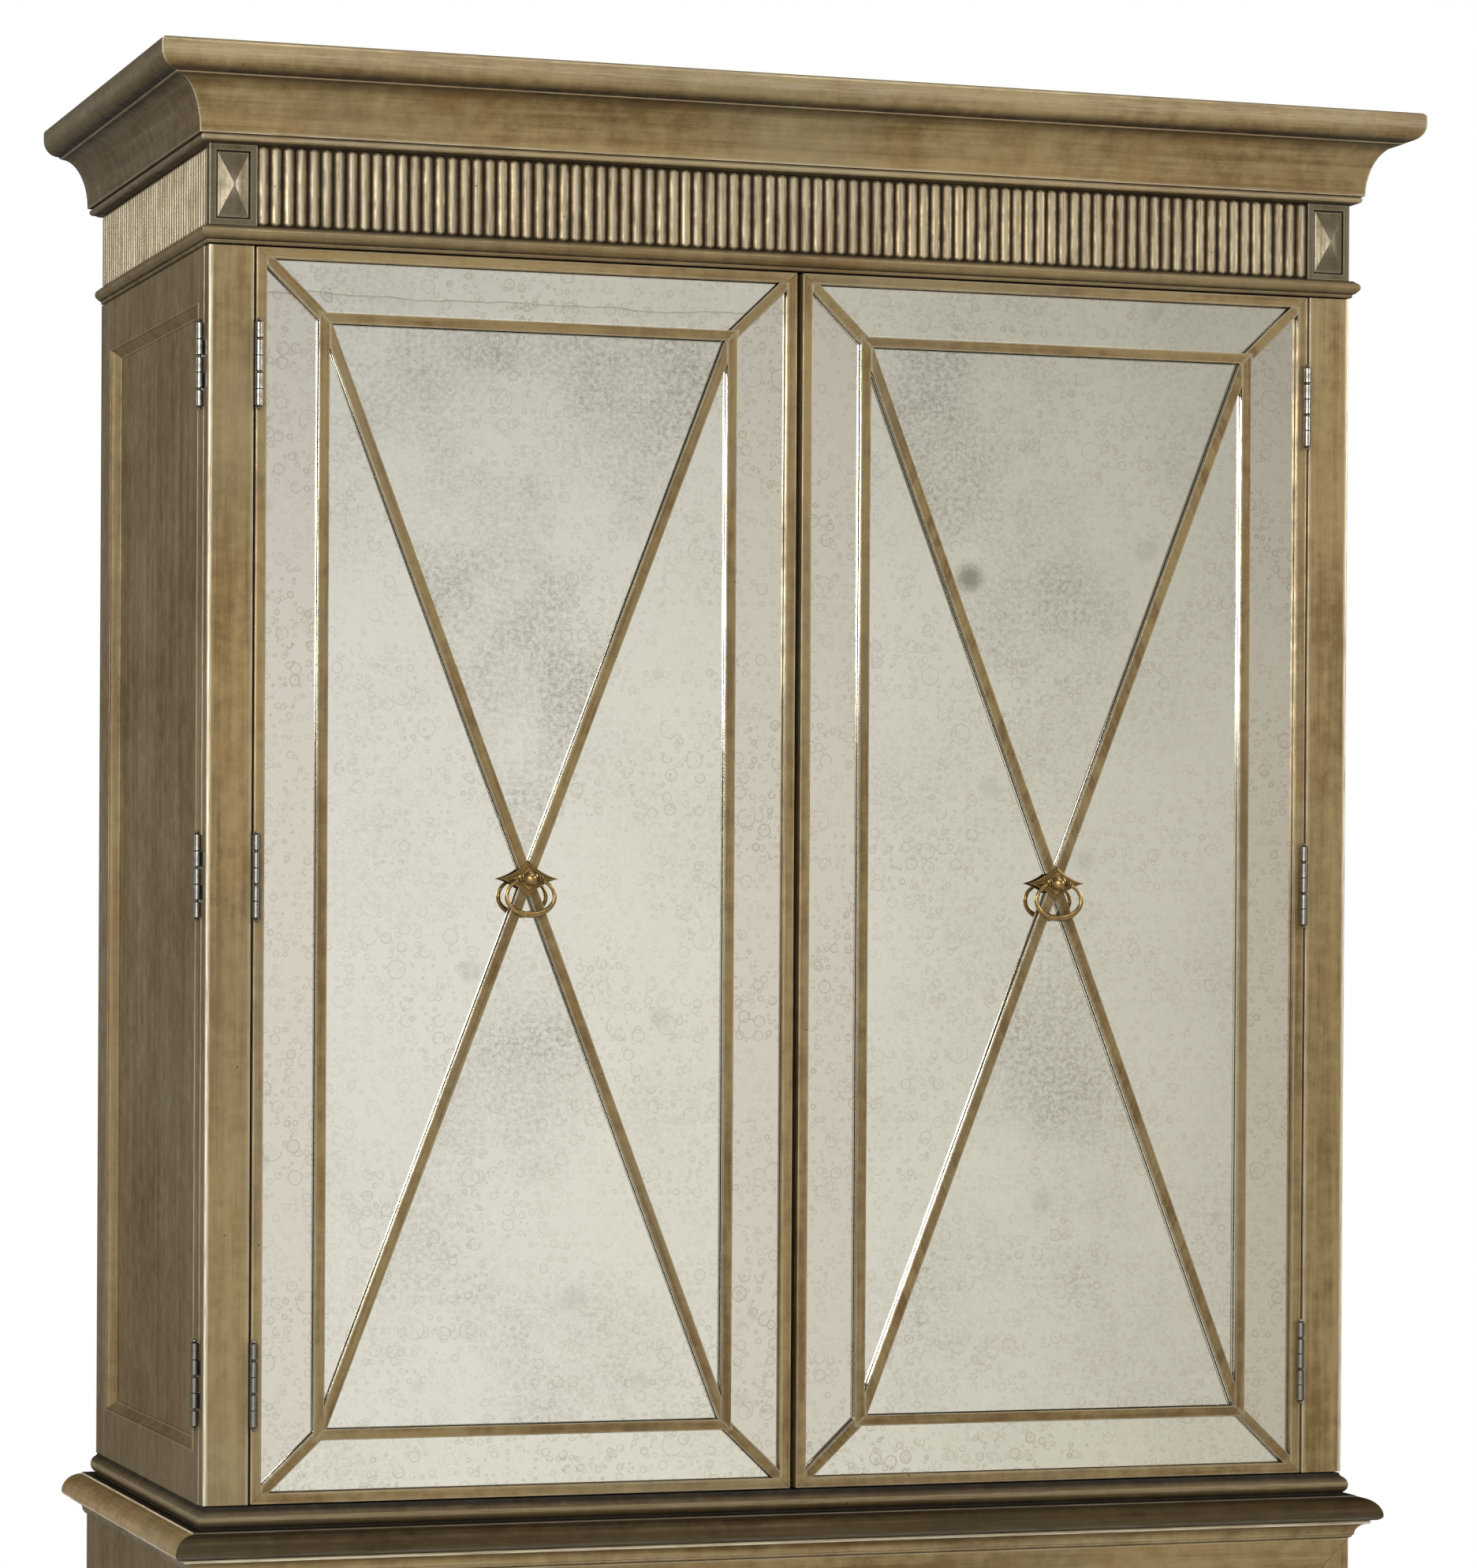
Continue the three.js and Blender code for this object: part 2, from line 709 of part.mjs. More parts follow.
// Drawers, each with two ring pulls.
["lower", "upper"].forEach((level, row) => {
  const midZ = drawerBottom(row) + OPENING_HIGH / 2;
  const pull = pullPlate().translate([-DRAWER_PULL_X, LOWER_FRONT + 3, midZ]);
  put("drawer_box_" + level, drawerBox(row), BOARD);
  put("drawer_front_" + level, drawerFront(row), PAINT);
  putPair("drawer_pull_" + level, pull, BRASS, 0.9, 0.35);
  putPair(
    "drawer_ring_" + level,
    ringAt(-DRAWER_PULL_X, LOWER_FRONT + 3, midZ),
    BRASS,
    0.9,
    0.35,
  );
});

export default root;
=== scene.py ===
"""A mirrored two-part armoire: brushed metal leaf under brown glaze, antiqued mirror doors that
fold round the cabinet on double hinges, and two drawers below. Built round its CAD frame."""

import math

import bpy
import numpy as np
from mathutils import Matrix, Vector


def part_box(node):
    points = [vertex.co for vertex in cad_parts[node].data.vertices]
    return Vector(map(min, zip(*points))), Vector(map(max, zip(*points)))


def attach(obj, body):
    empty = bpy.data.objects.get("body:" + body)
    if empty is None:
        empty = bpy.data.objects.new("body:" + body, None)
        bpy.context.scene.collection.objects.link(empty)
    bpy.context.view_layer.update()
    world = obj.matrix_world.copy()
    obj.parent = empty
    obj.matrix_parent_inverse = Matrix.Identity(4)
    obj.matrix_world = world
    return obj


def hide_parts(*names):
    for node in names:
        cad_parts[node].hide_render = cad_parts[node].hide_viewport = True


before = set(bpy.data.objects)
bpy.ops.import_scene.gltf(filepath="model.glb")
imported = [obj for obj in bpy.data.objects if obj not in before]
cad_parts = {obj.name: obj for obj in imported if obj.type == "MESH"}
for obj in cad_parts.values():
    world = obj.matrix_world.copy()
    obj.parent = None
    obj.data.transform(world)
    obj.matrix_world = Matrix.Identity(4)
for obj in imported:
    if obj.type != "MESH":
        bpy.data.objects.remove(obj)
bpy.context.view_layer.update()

bl_info = {
    "name": "Mirrored Armoire",
    "version": (1, 0, 0),
    "blender": (4, 5, 0),
    "location": "View3D > Sidebar > Armoire",
    "description": "Builds the pieces and finishes of a mirrored armoire round its CAD frame",
    "category": "Object",
}

MM = 0.001


# ---- places taken from the frame -----------------------------------------------------------
def span(node):
    """Lowest and highest corners of a CAD node, as two arrays in metres."""
    low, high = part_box(node)
    return np.array(low), np.array(high)


STILE_LOW, STILE_HIGH = span("fold_stile_left")
DOOR_LOW, DOOR_HIGH = span("door_frame_left")
MIRROR_LOW, MIRROR_HIGH = span("door_mirror_left")
SIDE_LOW, SIDE_HIGH = span("upper_side_left")
LOWER_LOW, LOWER_HIGH = span("lower_side_left")
FACE_LOW, FACE_HIGH = span("face_frame")
FRONT = STILE_LOW[1]
HALF = -STILE_LOW[0]
BACK = LOWER_HIGH[1]
CABINET_BACK = SIDE_HIGH[1]
FRIEZE_TOP = span("frieze_front")[1][2]
NECK_BOTTOM = span("neck_board")[0][2]
WAIST_TOP = span("waist_top")[1][2]
COVE_TOP = span("waist_cove")[1][2]
COVE_BOTTOM = span("waist_cove")[0][2]
DOOR_MID = (DOOR_LOW + DOOR_HIGH) / 2

# The dark mark on the right door's silvering, as (x, z, 0).
SMUDGE = (0.175, 1.675, 0.0)

# The way in which the mirrors see a dark place of the room, low in front and a little left.
DARK_PLACE = (-0.22, 0.0, -0.3)

X, Y, Z = np.eye(3)


# ---- surfaces ------------------------------------------------------------------------------
def way_between(a, b):
    """The unit vector from a to b in a plane, and that vector turned a quarter to its left."""
    way = (b - a) / np.linalg.norm(b - a)
    return way, np.array([-way[1], way[0]])


class Shell:
    """Closed surfaces gathered for one piece, with a relief value at each point: above 0 where
    the finish is rubbed thin and where a highlight is painted, below 0 where glaze has
    gathered and where shade is painted."""

    def __init__(self):
        self.points = []
        self.faces = []
        self.values = {"relief": []}
        self.count = 0

    def add(self, points, quads, caps=(), **values):
        """Takes a closed surface and turns it to face outwards by the sign of its volume."""
        points = np.asarray(points, float).reshape(-1, 3)
        quads = np.asarray(quads, int).reshape(-1, 4)
        fans = [np.stack([np.full(len(c) - 2, c[0]), c[1:-1], c[2:]], 1) for c in caps]
        triangles = np.concatenate([quads[:, [0, 1, 2]], quads[:, [0, 2, 3]], *fans])
        a, b, c = points[triangles].transpose(1, 0, 2) - points.mean(0)
        turn = -1 if np.einsum("ij,ij->i", a, np.cross(b, c)).sum() < 0 else 1
        self.faces += (quads[:, ::turn] + self.count).tolist()
        self.faces += [(np.asarray(c)[::turn] + self.count).tolist() for c in caps]
        self.points.append(points)
        for name in set(self.values) | set(values):
            held = self.values.setdefault(name, [np.zeros(self.count)] if self.count else [])
            value = np.asarray(values.get(name, 0.0), float)
            held.append(value.ravel() if value.size == len(points) else np.full(len(points), value))
        self.count += len(points)
        return self

    def loft(self, rows, relief=0.0, **values):
        """Joins rows of points, each a closed loop, by quads; flat caps close the two ends."""
        rows = np.asarray(rows, float)
        n, m = rows.shape[:2]
        i, j = np.meshgrid(np.arange(n - 1), np.arange(m), indexing="ij")
        after = (j + 1) % m
        quads = np.stack([i * m + j, i * m + after, (i + 1) * m + after, (i + 1) * m + j], -1)
        caps = (np.arange(m)[::-1], np.arange(m) + (n - 1) * m)
        relief = np.broadcast_to(relief, (n, m))
        return self.add(rows, quads, caps, relief=relief, **values)

    def mirrored(self):
        """The same surfaces on the other side of the middle plane x = 0."""
        other = Shell()
        other.points = [p * [-1, 1, 1] for p in self.points]
        other.faces = [f[::-1] for f in self.faces]
        other.values = {k: list(v) for k, v in self.values.items()}
        other.count = self.count
        return other

    def build(self, name, body, finish, replaces=(), crease=32):
        """Makes the object: its place is in its mesh, it rides on a body and stands for nodes."""
        mesh = bpy.data.meshes.new(name)
        mesh.from_pydata(np.concatenate(self.points).tolist(), [], self.faces)
        for label, held in self.values.items():
            layer = mesh.attributes.new(label, "FLOAT", "POINT")
            layer.data.foreach_set("value", np.concatenate(held).astype(np.float32))
        mesh.shade_smooth()
        mesh.set_sharp_from_angle(angle=math.radians(crease))
        mesh.validate()
        mesh.materials.append(material(finish))
        piece = bpy.data.objects.new(name, mesh)
        bpy.context.scene.collection.objects.link(piece)
        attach(piece, body)
        if replaces:
            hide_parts(*replaces)
        return piece


def build_pair(shell, name, body, finish, replaces=(), **options):
    """Builds a piece of the left side and its mirror image, with _left and _right in the names."""
    for side, made in (("left", shell), ("right", shell.mirrored())):
        nodes = [node.format(side=side) for node in replaces]
        made.build(f"{name}_{side}", body.format(side=side), finish, nodes, **options)


def arc(cx, cz, rx, rz, start, stop, steps, relief=0.0, relief_end=None):
    """Points (out, up, relief) on an ellipse: centre + (rx cos a, rz sin a), angle in degrees."""
    t = np.linspace(0, 1, steps + 1)
    a = np.radians(start + (stop - start) * t)
    end = relief if relief_end is None else relief_end
    return np.stack([cx + rx * np.cos(a), cz + rz * np.sin(a), relief + (end - relief) * t], 1)


def profile(*parts):
    """One profile of (out, up, relief) rows from points and arcs given in millimetres."""
    rows = np.concatenate([np.atleast_2d(np.asarray(p, float)) for p in parts])
    return rows * [MM, MM, 1]


def rounded_section(width, depth, radius, worn=0.3, outer=None):
    """A rectangle (across, out, relief) from 0 to width and from -depth to 0, its corners
    quarter circles. The rubbed arris fades out over three times its radius. The corner at
    across 0, out 0 may have its own relief, given as outer: on the folding stiles it is rubbed
    leaf and a painted highlight."""
    fade = 3 * radius
    bend = np.linspace(0, 90, 4)
    rows = []
    corners = [(0, 0, 90), (0, -depth, 180), (width, -depth, 270), (width, 0, 0)]
    for k, (cx, cy, start) in enumerate(corners):
        sx, sy = (1 if cx == 0 else -1), (1 if cy != 0 else -1)
        wear = outer if (outer is not None and k == 0) else worn
        a = np.radians(start + bend)
        ring = [cx + sx * radius + radius * np.cos(a), cy + sy * radius + radius * np.sin(a)]
        ring = np.stack(ring, 1)
        first, last = ring[0], ring[-1]
        ways = [np.array([sx, 0.0]), np.array([0.0, sy])]
        along_in, along_out = ways if k in (0, 2) else ways[::-1]
        rows.append([*(first + along_in * fade), 0.0])
        rows += [[*p, wear] for p in ring]
        rows.append([*(last + along_out * fade), 0.0])
    return np.array(rows)


def run(shell, section, start, end, across, out, slant=0.0, **values):
    """A section carried from start to end: start + t (end - start) + u across + v out. For a
    mitre, the two ends move towards each other by slant times u."""
    start, end = np.asarray(start, float), np.asarray(end, float)
    along = (end - start) / np.linalg.norm(end - start)
    u, v = section[:, 0, None], section[:, 1, None]
    base = u * np.asarray(across, float) + v * np.asarray(out, float)
    rows = np.stack([start + base + slant * u * along, end + base - slant * u * along])
    return shell.loft(rows, section[:, 2], **values)


def plank(shell, low, high, axis, face, radius=0.35 * MM, worn=0.25, outer=None):
    """A board with rounded arrises filling the box low to high. axis is the way of its grain and
    face the axis that its show side points along, towards the lower coordinate."""
    low, high = np.asarray(low, float), np.asarray(high, float)
    across = ({0, 1, 2} - {axis, face}).pop()
    size = high - low
    section = rounded_section(size[across], size[face], radius, worn, outer)
    end = low.copy()
    end[axis] = high[axis]
    unit = np.eye(3)
    turn = math.pi / 2 if axis == 0 and face == 1 else 0
    return run(shell, section, low, end, unit[across], -unit[face], turn=turn)


def sweep(shell, outline, stations):
    """Carries a closed outline of (out, up, relief) along stations (x, y, outward x, outward y,
    wear), where the wear of a station is added to the relief."""
    stations = np.asarray(stations, float)
    out = stations[:, None, 2:4] * outline[None, :, 0, None]
    place = stations[:, None, :2] + out
    up = np.broadcast_to(outline[None, :, 1, None], (*place.shape[:2], 1))
    rows = np.concatenate([place, up], -1)
    return shell.loft(rows, outline[None, :, 2] + stations[:, 4, None])


def stacked(shell, rows, back):
    """A board whose moulded edge runs round its front and sides: each row (out, up, relief) is a
    rectangle standing out that far from the cabinet."""
    out, up, relief = rows.T
    left = np.stack([-HALF - out, FRONT - out, up], -1)
    right = left * [-1, 1, 1]
    rear_right, rear_left = (side * [1, 0, 1] + [0, back, 0] for side in (right, left))
    loops = np.stack([left, right, rear_right, rear_left], 1)
    return shell.loft(loops, relief[:, None])


def lathe(shell, rows, centre, axis, segments=24):
    """Turns (radius, along) rows about an axis through centre: centre + along axis +
    radius (cos a side + sin a up). The first and last radius are small, and capped."""
    rows = np.asarray(rows, float)
    axis = np.asarray(axis, float)
    side = np.cross(axis, Z if abs(axis[2]) < 0.5 else X)
    side /= np.linalg.norm(side)
    top = np.cross(axis, side)
    a = np.linspace(0, 2 * math.pi, segments, endpoint=False)
    ring = np.cos(a)[:, None] * side + np.sin(a)[:, None] * top
    radius, along = rows[:, 0, None, None], rows[:, 1, None, None]
    loops = np.asarray(centre, float) + along * axis + radius * ring
    return shell.loft(loops, rows[:, 2, None] if rows.shape[1] > 2 else 0.0)


def cross_point(p, d, q, e):
    """Where the line through p along d meets the line through q along e, in the plane."""
    t = np.linalg.solve(np.stack([d, -e], 1), np.asarray(q, float) - p)[0]
    return np.asarray(p, float) + t * np.asarray(d, float)


def inset(outline, by):
    """A polygon (n, 2), counter-clockwise, with each edge moved inwards by a distance: every
    corner goes to where its two moved edges meet."""
    before = outline - np.roll(outline, 1, 0)
    before /= np.linalg.norm(before, axis=1)[:, None]
    after = np.roll(before, -1, 0)
    inward_a = np.stack([-before[:, 1], before[:, 0]], 1)
    inward_b = np.stack([-after[:, 1], after[:, 0]], 1)
    share = 1 + np.einsum("ij,ij->i", inward_a, inward_b)[:, None]
    return outline + by * (inward_a + inward_b) / share


def counter_clockwise(outline):
    """The polygon, turned round if its signed area is negative."""
    x, z = outline.T
    area = (x * np.roll(z, -1) - z * np.roll(x, -1)).sum()
    return outline[::-1] if area < 0 else outline


def clip(outline, point, normal):
    """The part of a convex polygon where (p - point) . normal is at most 0."""
    kept = []
    side = (outline - point) @ normal
    for a, b, da, db in zip(outline, np.roll(outline, -1, 0), side, np.roll(side, -1)):
        if da <= 0:
            kept.append(a)
        if (da < 0 < db) or (db < 0 < da):
            kept.append(a + (b - a) * da / (da - db))
    return np.array(kept)


def slab(shell, outline, y_back, y_front, radius, worn=0.0, dull=0.0, **values):
    """A polygon in the door's plane given thickness, its front edge rounded: loops move in by
    radius (1 - cos a) while they come forward by radius sin a. The attribute "wall" is 1 on the
    edge, except on a dull band of it next to the front."""
    outline = counter_clockwise(np.asarray(outline, float))
    a = np.radians(np.linspace(0, 90, 7))
    hair = 0.1 * MM
    ins = [0, 0, 0, *(radius * (1 - np.cos(a))), 3.2 * radius]
    band = y_front + radius + dull
    ys = [y_back, band + hair, band, *(y_front + radius * (1 - np.sin(a))), y_front]
    relief = np.array([0, 0, 0, *np.linspace(0.6, 1, 7) * worn, 0])
    wall = np.array([1.0, 1.0] + [0.0] * 9)
    loops = [
        np.stack([ring[:, 0], np.full(len(ring), y), ring[:, 1]], 1)
        for ring, y in ((inset(outline, i), y) for i, y in zip(ins, ys))
    ]
    wall = np.repeat(wall[:, None], len(outline), 1)
    return shell.loft(loops, relief[:, None], wall=wall, **values)


# ---- nodes ---------------------------------------------------------------------------------
class Wiring:
    """Adds nodes to one tree; a socket given as an input is linked, anything else is its value."""

    def __init__(self, tree):
        self.tree = tree

    def add(self, kind, inputs=None, **settings):
        made = self.tree.nodes.new(kind)
        for key, value in settings.items():
            setattr(made, key, value)
        for key, value in (inputs or {}).items():
            socket = made.inputs[key]
            if isinstance(value, bpy.types.NodeSocket):
                self.tree.links.new(value, socket)
            else:
                socket.default_value = value
        return made

    def maths(self, operation, a, b=0.0, clamp=False):
        """A number from one or two others."""
        made = self.add("ShaderNodeMath", {0: a, 1: b}, operation=operation, use_clamp=clamp)
        return made.outputs[0]

    def plus(self, a, b, clamp=False):
        return self.maths("ADD", a, b, clamp)

    def minus(self, a, b, clamp=False):
        return self.maths("SUBTRACT", a, b, clamp)

    def times(self, a, b, clamp=False):
        return self.maths("MULTIPLY", a, b, clamp)

    def distance(self, a, b):
        made = self.add("ShaderNodeVectorMath", {0: a, 1: b}, operation="DISTANCE")
        return made.outputs["Value"]

    def vector(self, *parts):
        return self.add("ShaderNodeCombineXYZ", dict(enumerate(parts))).outputs[0]

    def blend(self, share, a, b):
        """A colour between a and b."""
        made = self.add("ShaderNodeMix", {0: share, 6: a, 7: b}, data_type="RGBA")
        return made.outputs[2]

    def between(self, share, a, b):
        """A vector between a and b."""
        made = self.add("ShaderNodeMix", {0: share, 4: a, 5: b}, data_type="VECTOR")
        return made.outputs[1]

    def scaled(self, vector, by):
        made = self.add("ShaderNodeVectorMath", {0: vector, 1: by}, operation="MULTIPLY")
        return made.outputs[0]

    def noise(self, vector, scale, detail=3.0, roughness=0.55):
        inputs = {"Vector": vector, "Scale": scale, "Detail": detail, "Roughness": roughness}
        return self.add("ShaderNodeTexNoise", inputs).outputs[0]

    def ramp(self, value, low, high, to_low=0.0, to_high=1.0):
        """value taken smoothly from low..high to to_low..to_high."""
        names = ("Value", "From Min", "From Max", "To Min", "To Max")
        inputs = dict(zip(names, (value, low, high, to_low, to_high)))
        return self.add("ShaderNodeMapRange", inputs, interpolation_type="SMOOTHSTEP").outputs[0]

    def attribute(self, name):
        return self.add("ShaderNodeAttribute", attribute_name=name).outputs["Fac"]


def new_group(name, inputs, outputs):
    """An empty shader group with named sockets, its wiring and its input and output nodes."""
    tree = bpy.data.node_groups.new(name, "ShaderNodeTree")
    kinds = {"colour": "NodeSocketColor", "value": "NodeSocketFloat"}
    for label, kind, default in inputs:
        socket = tree.interface.new_socket(name=label, in_out="INPUT", socket_type=kinds[kind])
        socket.default_value = default
    for label, kind in outputs:
        tree.interface.new_socket(name=label, in_out="OUTPUT", socket_type=kinds[kind])
    wiring = Wiring(tree)
    entry = wiring.add("NodeGroupInput")
    leave = wiring.add("NodeGroupOutput")
    return wiring, entry.outputs, leave.inputs


def brushed_leaf_group():
    """Metal leaf laid on wood and brushed with glaze. Streaks run upright, or level where Level
    is 1; rubbed places show the bright leaf, and hollows hold dark glaze. The relief attribute
    that places them also paints highlights with the bright leaf and shade with the dark glaze,
    and the side gain paints a sheen on faces turned sideways. The glaze's share is
    0.5 + Cover + Contrast times the sum of five noises about 0, from streaks to fine grit."""
    w, given, out = new_group(
        "Brushed leaf",
        [
            ("Leaf", "colour", (0.36, 0.28, 0.15, 1)),
            ("Glaze", "colour", (0.17, 0.11, 0.04, 1)),
            ("Rubbed", "colour", (0.62, 0.56, 0.4, 1)),
            ("Deep", "colour", (0.03, 0.02, 0.01, 1)),
            ("Level", "value", 0.0),
            ("Cover", "value", 0.0),
            ("Contrast", "value", 1.0),
            ("Tone", "value", 1.0),
            ("Side gain", "value", 1.0),
        ],
        [("Colour", "colour"), ("Roughness", "value"), ("Height", "value")],
    )
    along, across = 9.0, 300.0
    cool_colour, warm_colour = (0.212, 0.178, 0.104, 1), (0.19, 0.095, 0.022, 1)
    speck_scale, speck_size, speck_share = 95.0, 0.11, 0.7

    seat = w.add("ShaderNodeTexCoord")
    straight, normal = seat.outputs["Object"], seat.outputs["Normal"]
    turned = {"Vector": straight, "Angle": w.attribute("turn")}
    place = w.add("ShaderNodeVectorRotate", turned, rotation_type="Y_AXIS").outputs[0]
    split = w.add("ShaderNodeSeparateXYZ", {0: normal}).outputs
    facing = [w.maths("ABSOLUTE", part) for part in split[:2]]
    on_side = w.maths("GREATER_THAN", *facing)
    level = w.between(on_side, (along, across, across), (across, along, across))
    stretch = w.between(given["Level"], (across, across, along), level)
    fine = w.noise(w.scaled(place, stretch), 1.0, 5.0, 0.65)
    broad = w.noise(w.scaled(w.scaled(place, stretch), (0.2, 0.2, 0.2)), 1.0, 4.0, 0.6)
    patch = w.noise(place, 6.5, 4.0, 0.6)
    grit = w.noise(place, 1400.0, 2.0, 0.6)
    mottle = w.noise(place, 60.0, 5.0, 0.65)
    total = w.times(w.minus(fine, 0.5), 1.1)
    for value, share in ((broad, 1.5), (patch, 1.5), (mottle, 1.4), (grit, 0.5)):
        total = w.plus(total, w.times(w.minus(value, 0.5), share))
    total = w.times(total, given["Contrast"])
    glazed = w.plus(w.plus(total, 0.5), given["Cover"], clamp=True)
    colour = w.blend(glazed, given["Leaf"], given["Glaze"])

    cool = w.ramp(w.noise(place, 3.1, 3.0, 0.5), 0.5, 0.72, 0.0, 0.35)
    colour = w.blend(cool, colour, cool_colour)
    drips = w.noise(w.scaled(place, (1.0, 1.0, 0.4)), 17.0, 4.0, 0.62)
    colour = w.blend(w.ramp(drips, 0.52, 0.75, 0.0, 0.5), colour, warm_colour)

    # Painted highlight and painted shade, as well as real wear and glaze: the relief attribute
    # blends in the rubbed and deep colours.
    relief = w.attribute("relief")
    scratches = w.noise(w.scaled(place, w.scaled(stretch, (2.5, 2.5, 2.5))), 1.0, 4.0, 0.7)
    broken = w.ramp(scratches, 0.3, 0.62)
    high = w.times(w.maths("MAXIMUM", relief, 0.0), w.plus(broken, 0.2), clamp=True)
    colour = w.blend(high, colour, given["Rubbed"])
    low = w.maths("MAXIMUM", w.times(relief, -1.0), 0.0)
    deep_glaze_and_shade = w.times(low, w.plus(w.times(mottle, 0.7), 0.62), clamp=True)
    colour = w.blend(deep_glaze_and_shade, colour, given["Deep"])

    dots = w.add("ShaderNodeTexVoronoi", {"Vector": place, "Scale": speck_scale})
    seed = w.add("ShaderNodeSeparateColor", {0: dots.outputs["Color"]}).outputs
    size = w.times(w.ramp(seed[0], 0.86, 1.0), speck_size)
    specks = w.maths("LESS_THAN", dots.outputs["Distance"], size)
    colour = w.blend(w.times(specks, speck_share), colour, given["Deep"])

    # Painted sheen: faces turned sideways have their colour multiplied by the side gain.
    gain = w.plus(w.times(on_side, w.minus(given["Side gain"], 1.0)), 1.0)
    w.tree.links.new(w.scaled(colour, w.times(gain, given["Tone"])), out["Colour"])
    rough = w.plus(w.times(glazed, 0.2), w.times(deep_glaze_and_shade, 0.3))
    rough = w.plus(w.plus(rough, w.times(mottle, 0.12)), 0.26)
    w.tree.links.new(rough, out["Roughness"])
    w.tree.links.new(w.plus(w.times(fine, 0.6), w.times(grit, 0.4)), out["Height"])
    return w.tree


def bubble_rings(w, place, scale, presence, thickness):
    """A mask of thin rings: in each cell of a random pattern, the places whose distance to the
    cell's point is near a radius of that cell's own."""
    cells = {"Vector": place, "Scale": scale}
    cells = w.add("ShaderNodeTexVoronoi", cells, voronoi_dimensions="2D")
    seed = w.add("ShaderNodeSeparateColor", {0: cells.outputs["Color"]}).outputs
    radius = w.ramp(seed[0], 0.0, 1.0, 0.1, 0.36)
    off = w.maths("ABSOLUTE", w.minus(cells.outputs["Distance"], radius))
    ring = w.ramp(off, 0.0, thickness, 1.0, 0.0)
    inside = w.ramp(cells.outputs["Distance"], 0.0, 0.3, 0.16, 0.0)
    shown = w.ramp(seed[1], 1.0 - presence, 1.05 - presence * 0.6)
    return w.times(w.plus(ring, inside), shown)


# Four sizes of bubbles: cells in a metre, share of cells with a bubble, thickness of its rim.
BUBBLES = ((62.0, 0.55, 0.07), (105.0, 0.6, 0.09), (36.0, 0.3, 0.04), (150.0, 0.35, 0.1))


def silvering_group():
    """Old mirror silvering: cloudy grey patches of fine mottle, and bubbles with thin rims.
    Each pane is offset by its own number, so that no two carry the same pattern. The attribute
    tide draws a wavering water line near the door's head, and smudge one dark round mark."""
    w, given, out = new_group(
        "Old silvering",
        [
            ("Silver", "colour", (0.7, 0.68, 0.6, 1)),
            ("Stain", "colour", (0.25, 0.2, 0.13, 1)),
            ("Cloud", "colour", (0.3, 0.28, 0.23, 1)),
            ("Bubbles", "value", 0.5),
            ("Clouds", "value", 0.5),
        ],
        [("Colour", "colour"), ("Roughness", "value")],
    )
    pane_offset, bubble_wobble = 3.7, (0.0011, 0.0011, 0.0)
    tide_height, tide_wander, tide_line = DOOR_HIGH[2] - 0.0255, 0.03, 0.0011
    smudge_colour = (0.12, 0.115, 0.08, 1)

    seat = w.add("ShaderNodeTexCoord").outputs["Object"]
    split = w.add("ShaderNodeSeparateXYZ", {0: seat}).outputs
    pane = w.attribute("pane")
    flat = w.vector(w.plus(split[0], w.times(pane, pane_offset)), split[2], 0.0)
    flat_place = w.vector(split[0], split[2], 0.0)
    wobble = w.add("ShaderNodeTexNoise", {"Vector": flat, "Scale": 160.0, "Detail": 2.0})
    bending = {0: wobble.outputs["Color"], 1: bubble_wobble, 2: flat}
    bent = w.add("ShaderNodeVectorMath", bending, operation="MULTIPLY_ADD").outputs[0]
    rings = bubble_rings(w, bent, *BUBBLES[0])
    for size in BUBBLES[1:]:
        rings = w.maths("MAXIMUM", rings, bubble_rings(w, bent, *size))
    gather = w.ramp(w.noise(flat, 9.0, 3.0, 0.6), 0.32, 0.68, 0.35, 1.0)
    rings = w.times(w.times(rings, gather), given["Bubbles"])

    clouds = w.ramp(w.noise(flat, 5.2, 4.0, 0.55), 0.36, 0.76)
    amount = w.times(clouds, w.attribute("cloud"))
    fine = w.ramp(w.noise(flat, 210.0, 5.0, 0.7), 0.34, 0.74)
    grains = w.ramp(w.noise(flat, 520.0, 3.0, 0.7), 0.35, 0.7)
    mottle = w.plus(w.times(fine, 0.75), w.times(grains, 0.25))
    dull = w.times(w.times(amount, mottle), given["Clouds"])
    haze = w.times(mottle, 0.065)
    colour = w.blend(w.plus(dull, haze, clamp=True), given["Silver"], given["Cloud"])
    colour = w.blend(w.times(rings, 0.6), colour, given["Stain"])

    spots = w.add("ShaderNodeTexVoronoi", {"Vector": bent, "Scale": 14.0}, voronoi_dimensions="2D")
    seed = w.add("ShaderNodeSeparateColor", {0: spots.outputs["Color"]}).outputs
    spot_size = w.times(w.ramp(seed[0], 0.8, 1.0), 0.2)
    near = w.ramp(w.minus(spots.outputs["Distance"], spot_size), -0.1, 0.02, 1.0, 0.0)
    colour = w.blend(w.times(near, 0.16), colour, given["Cloud"])

    wave = w.times(w.noise(w.scaled(flat, (1.0, 0.0, 0.0)), 7.0, 3.0, 0.5), tide_wander)
    above = w.minus(w.plus(split[2], wave), tide_height)
    line = w.ramp(w.maths("ABSOLUTE", above), 0.0, tide_line, 0.5, 0.0)
    shade = w.ramp(above, 0.0, -0.012, 0.07, 0.0)
    shade = w.times(shade, w.maths("LESS_THAN", above, 0.0))
    tide = w.times(w.plus(line, shade), w.attribute("tide"))
    colour = w.blend(tide, colour, given["Stain"])
    off = w.plus(w.distance(flat_place, SMUDGE), w.times(fine, 0.006))
    smudge = w.times(w.ramp(off, 0.006, 0.022, 0.62, 0.0), w.attribute("smudge"))
    w.tree.links.new(w.blend(smudge, colour, smudge_colour), out["Colour"])
    rough = w.plus(w.times(dull, 0.3), w.times(rings, 0.15))
    w.tree.links.new(w.plus(rough, 0.025), out["Roughness"])
    return w.tree


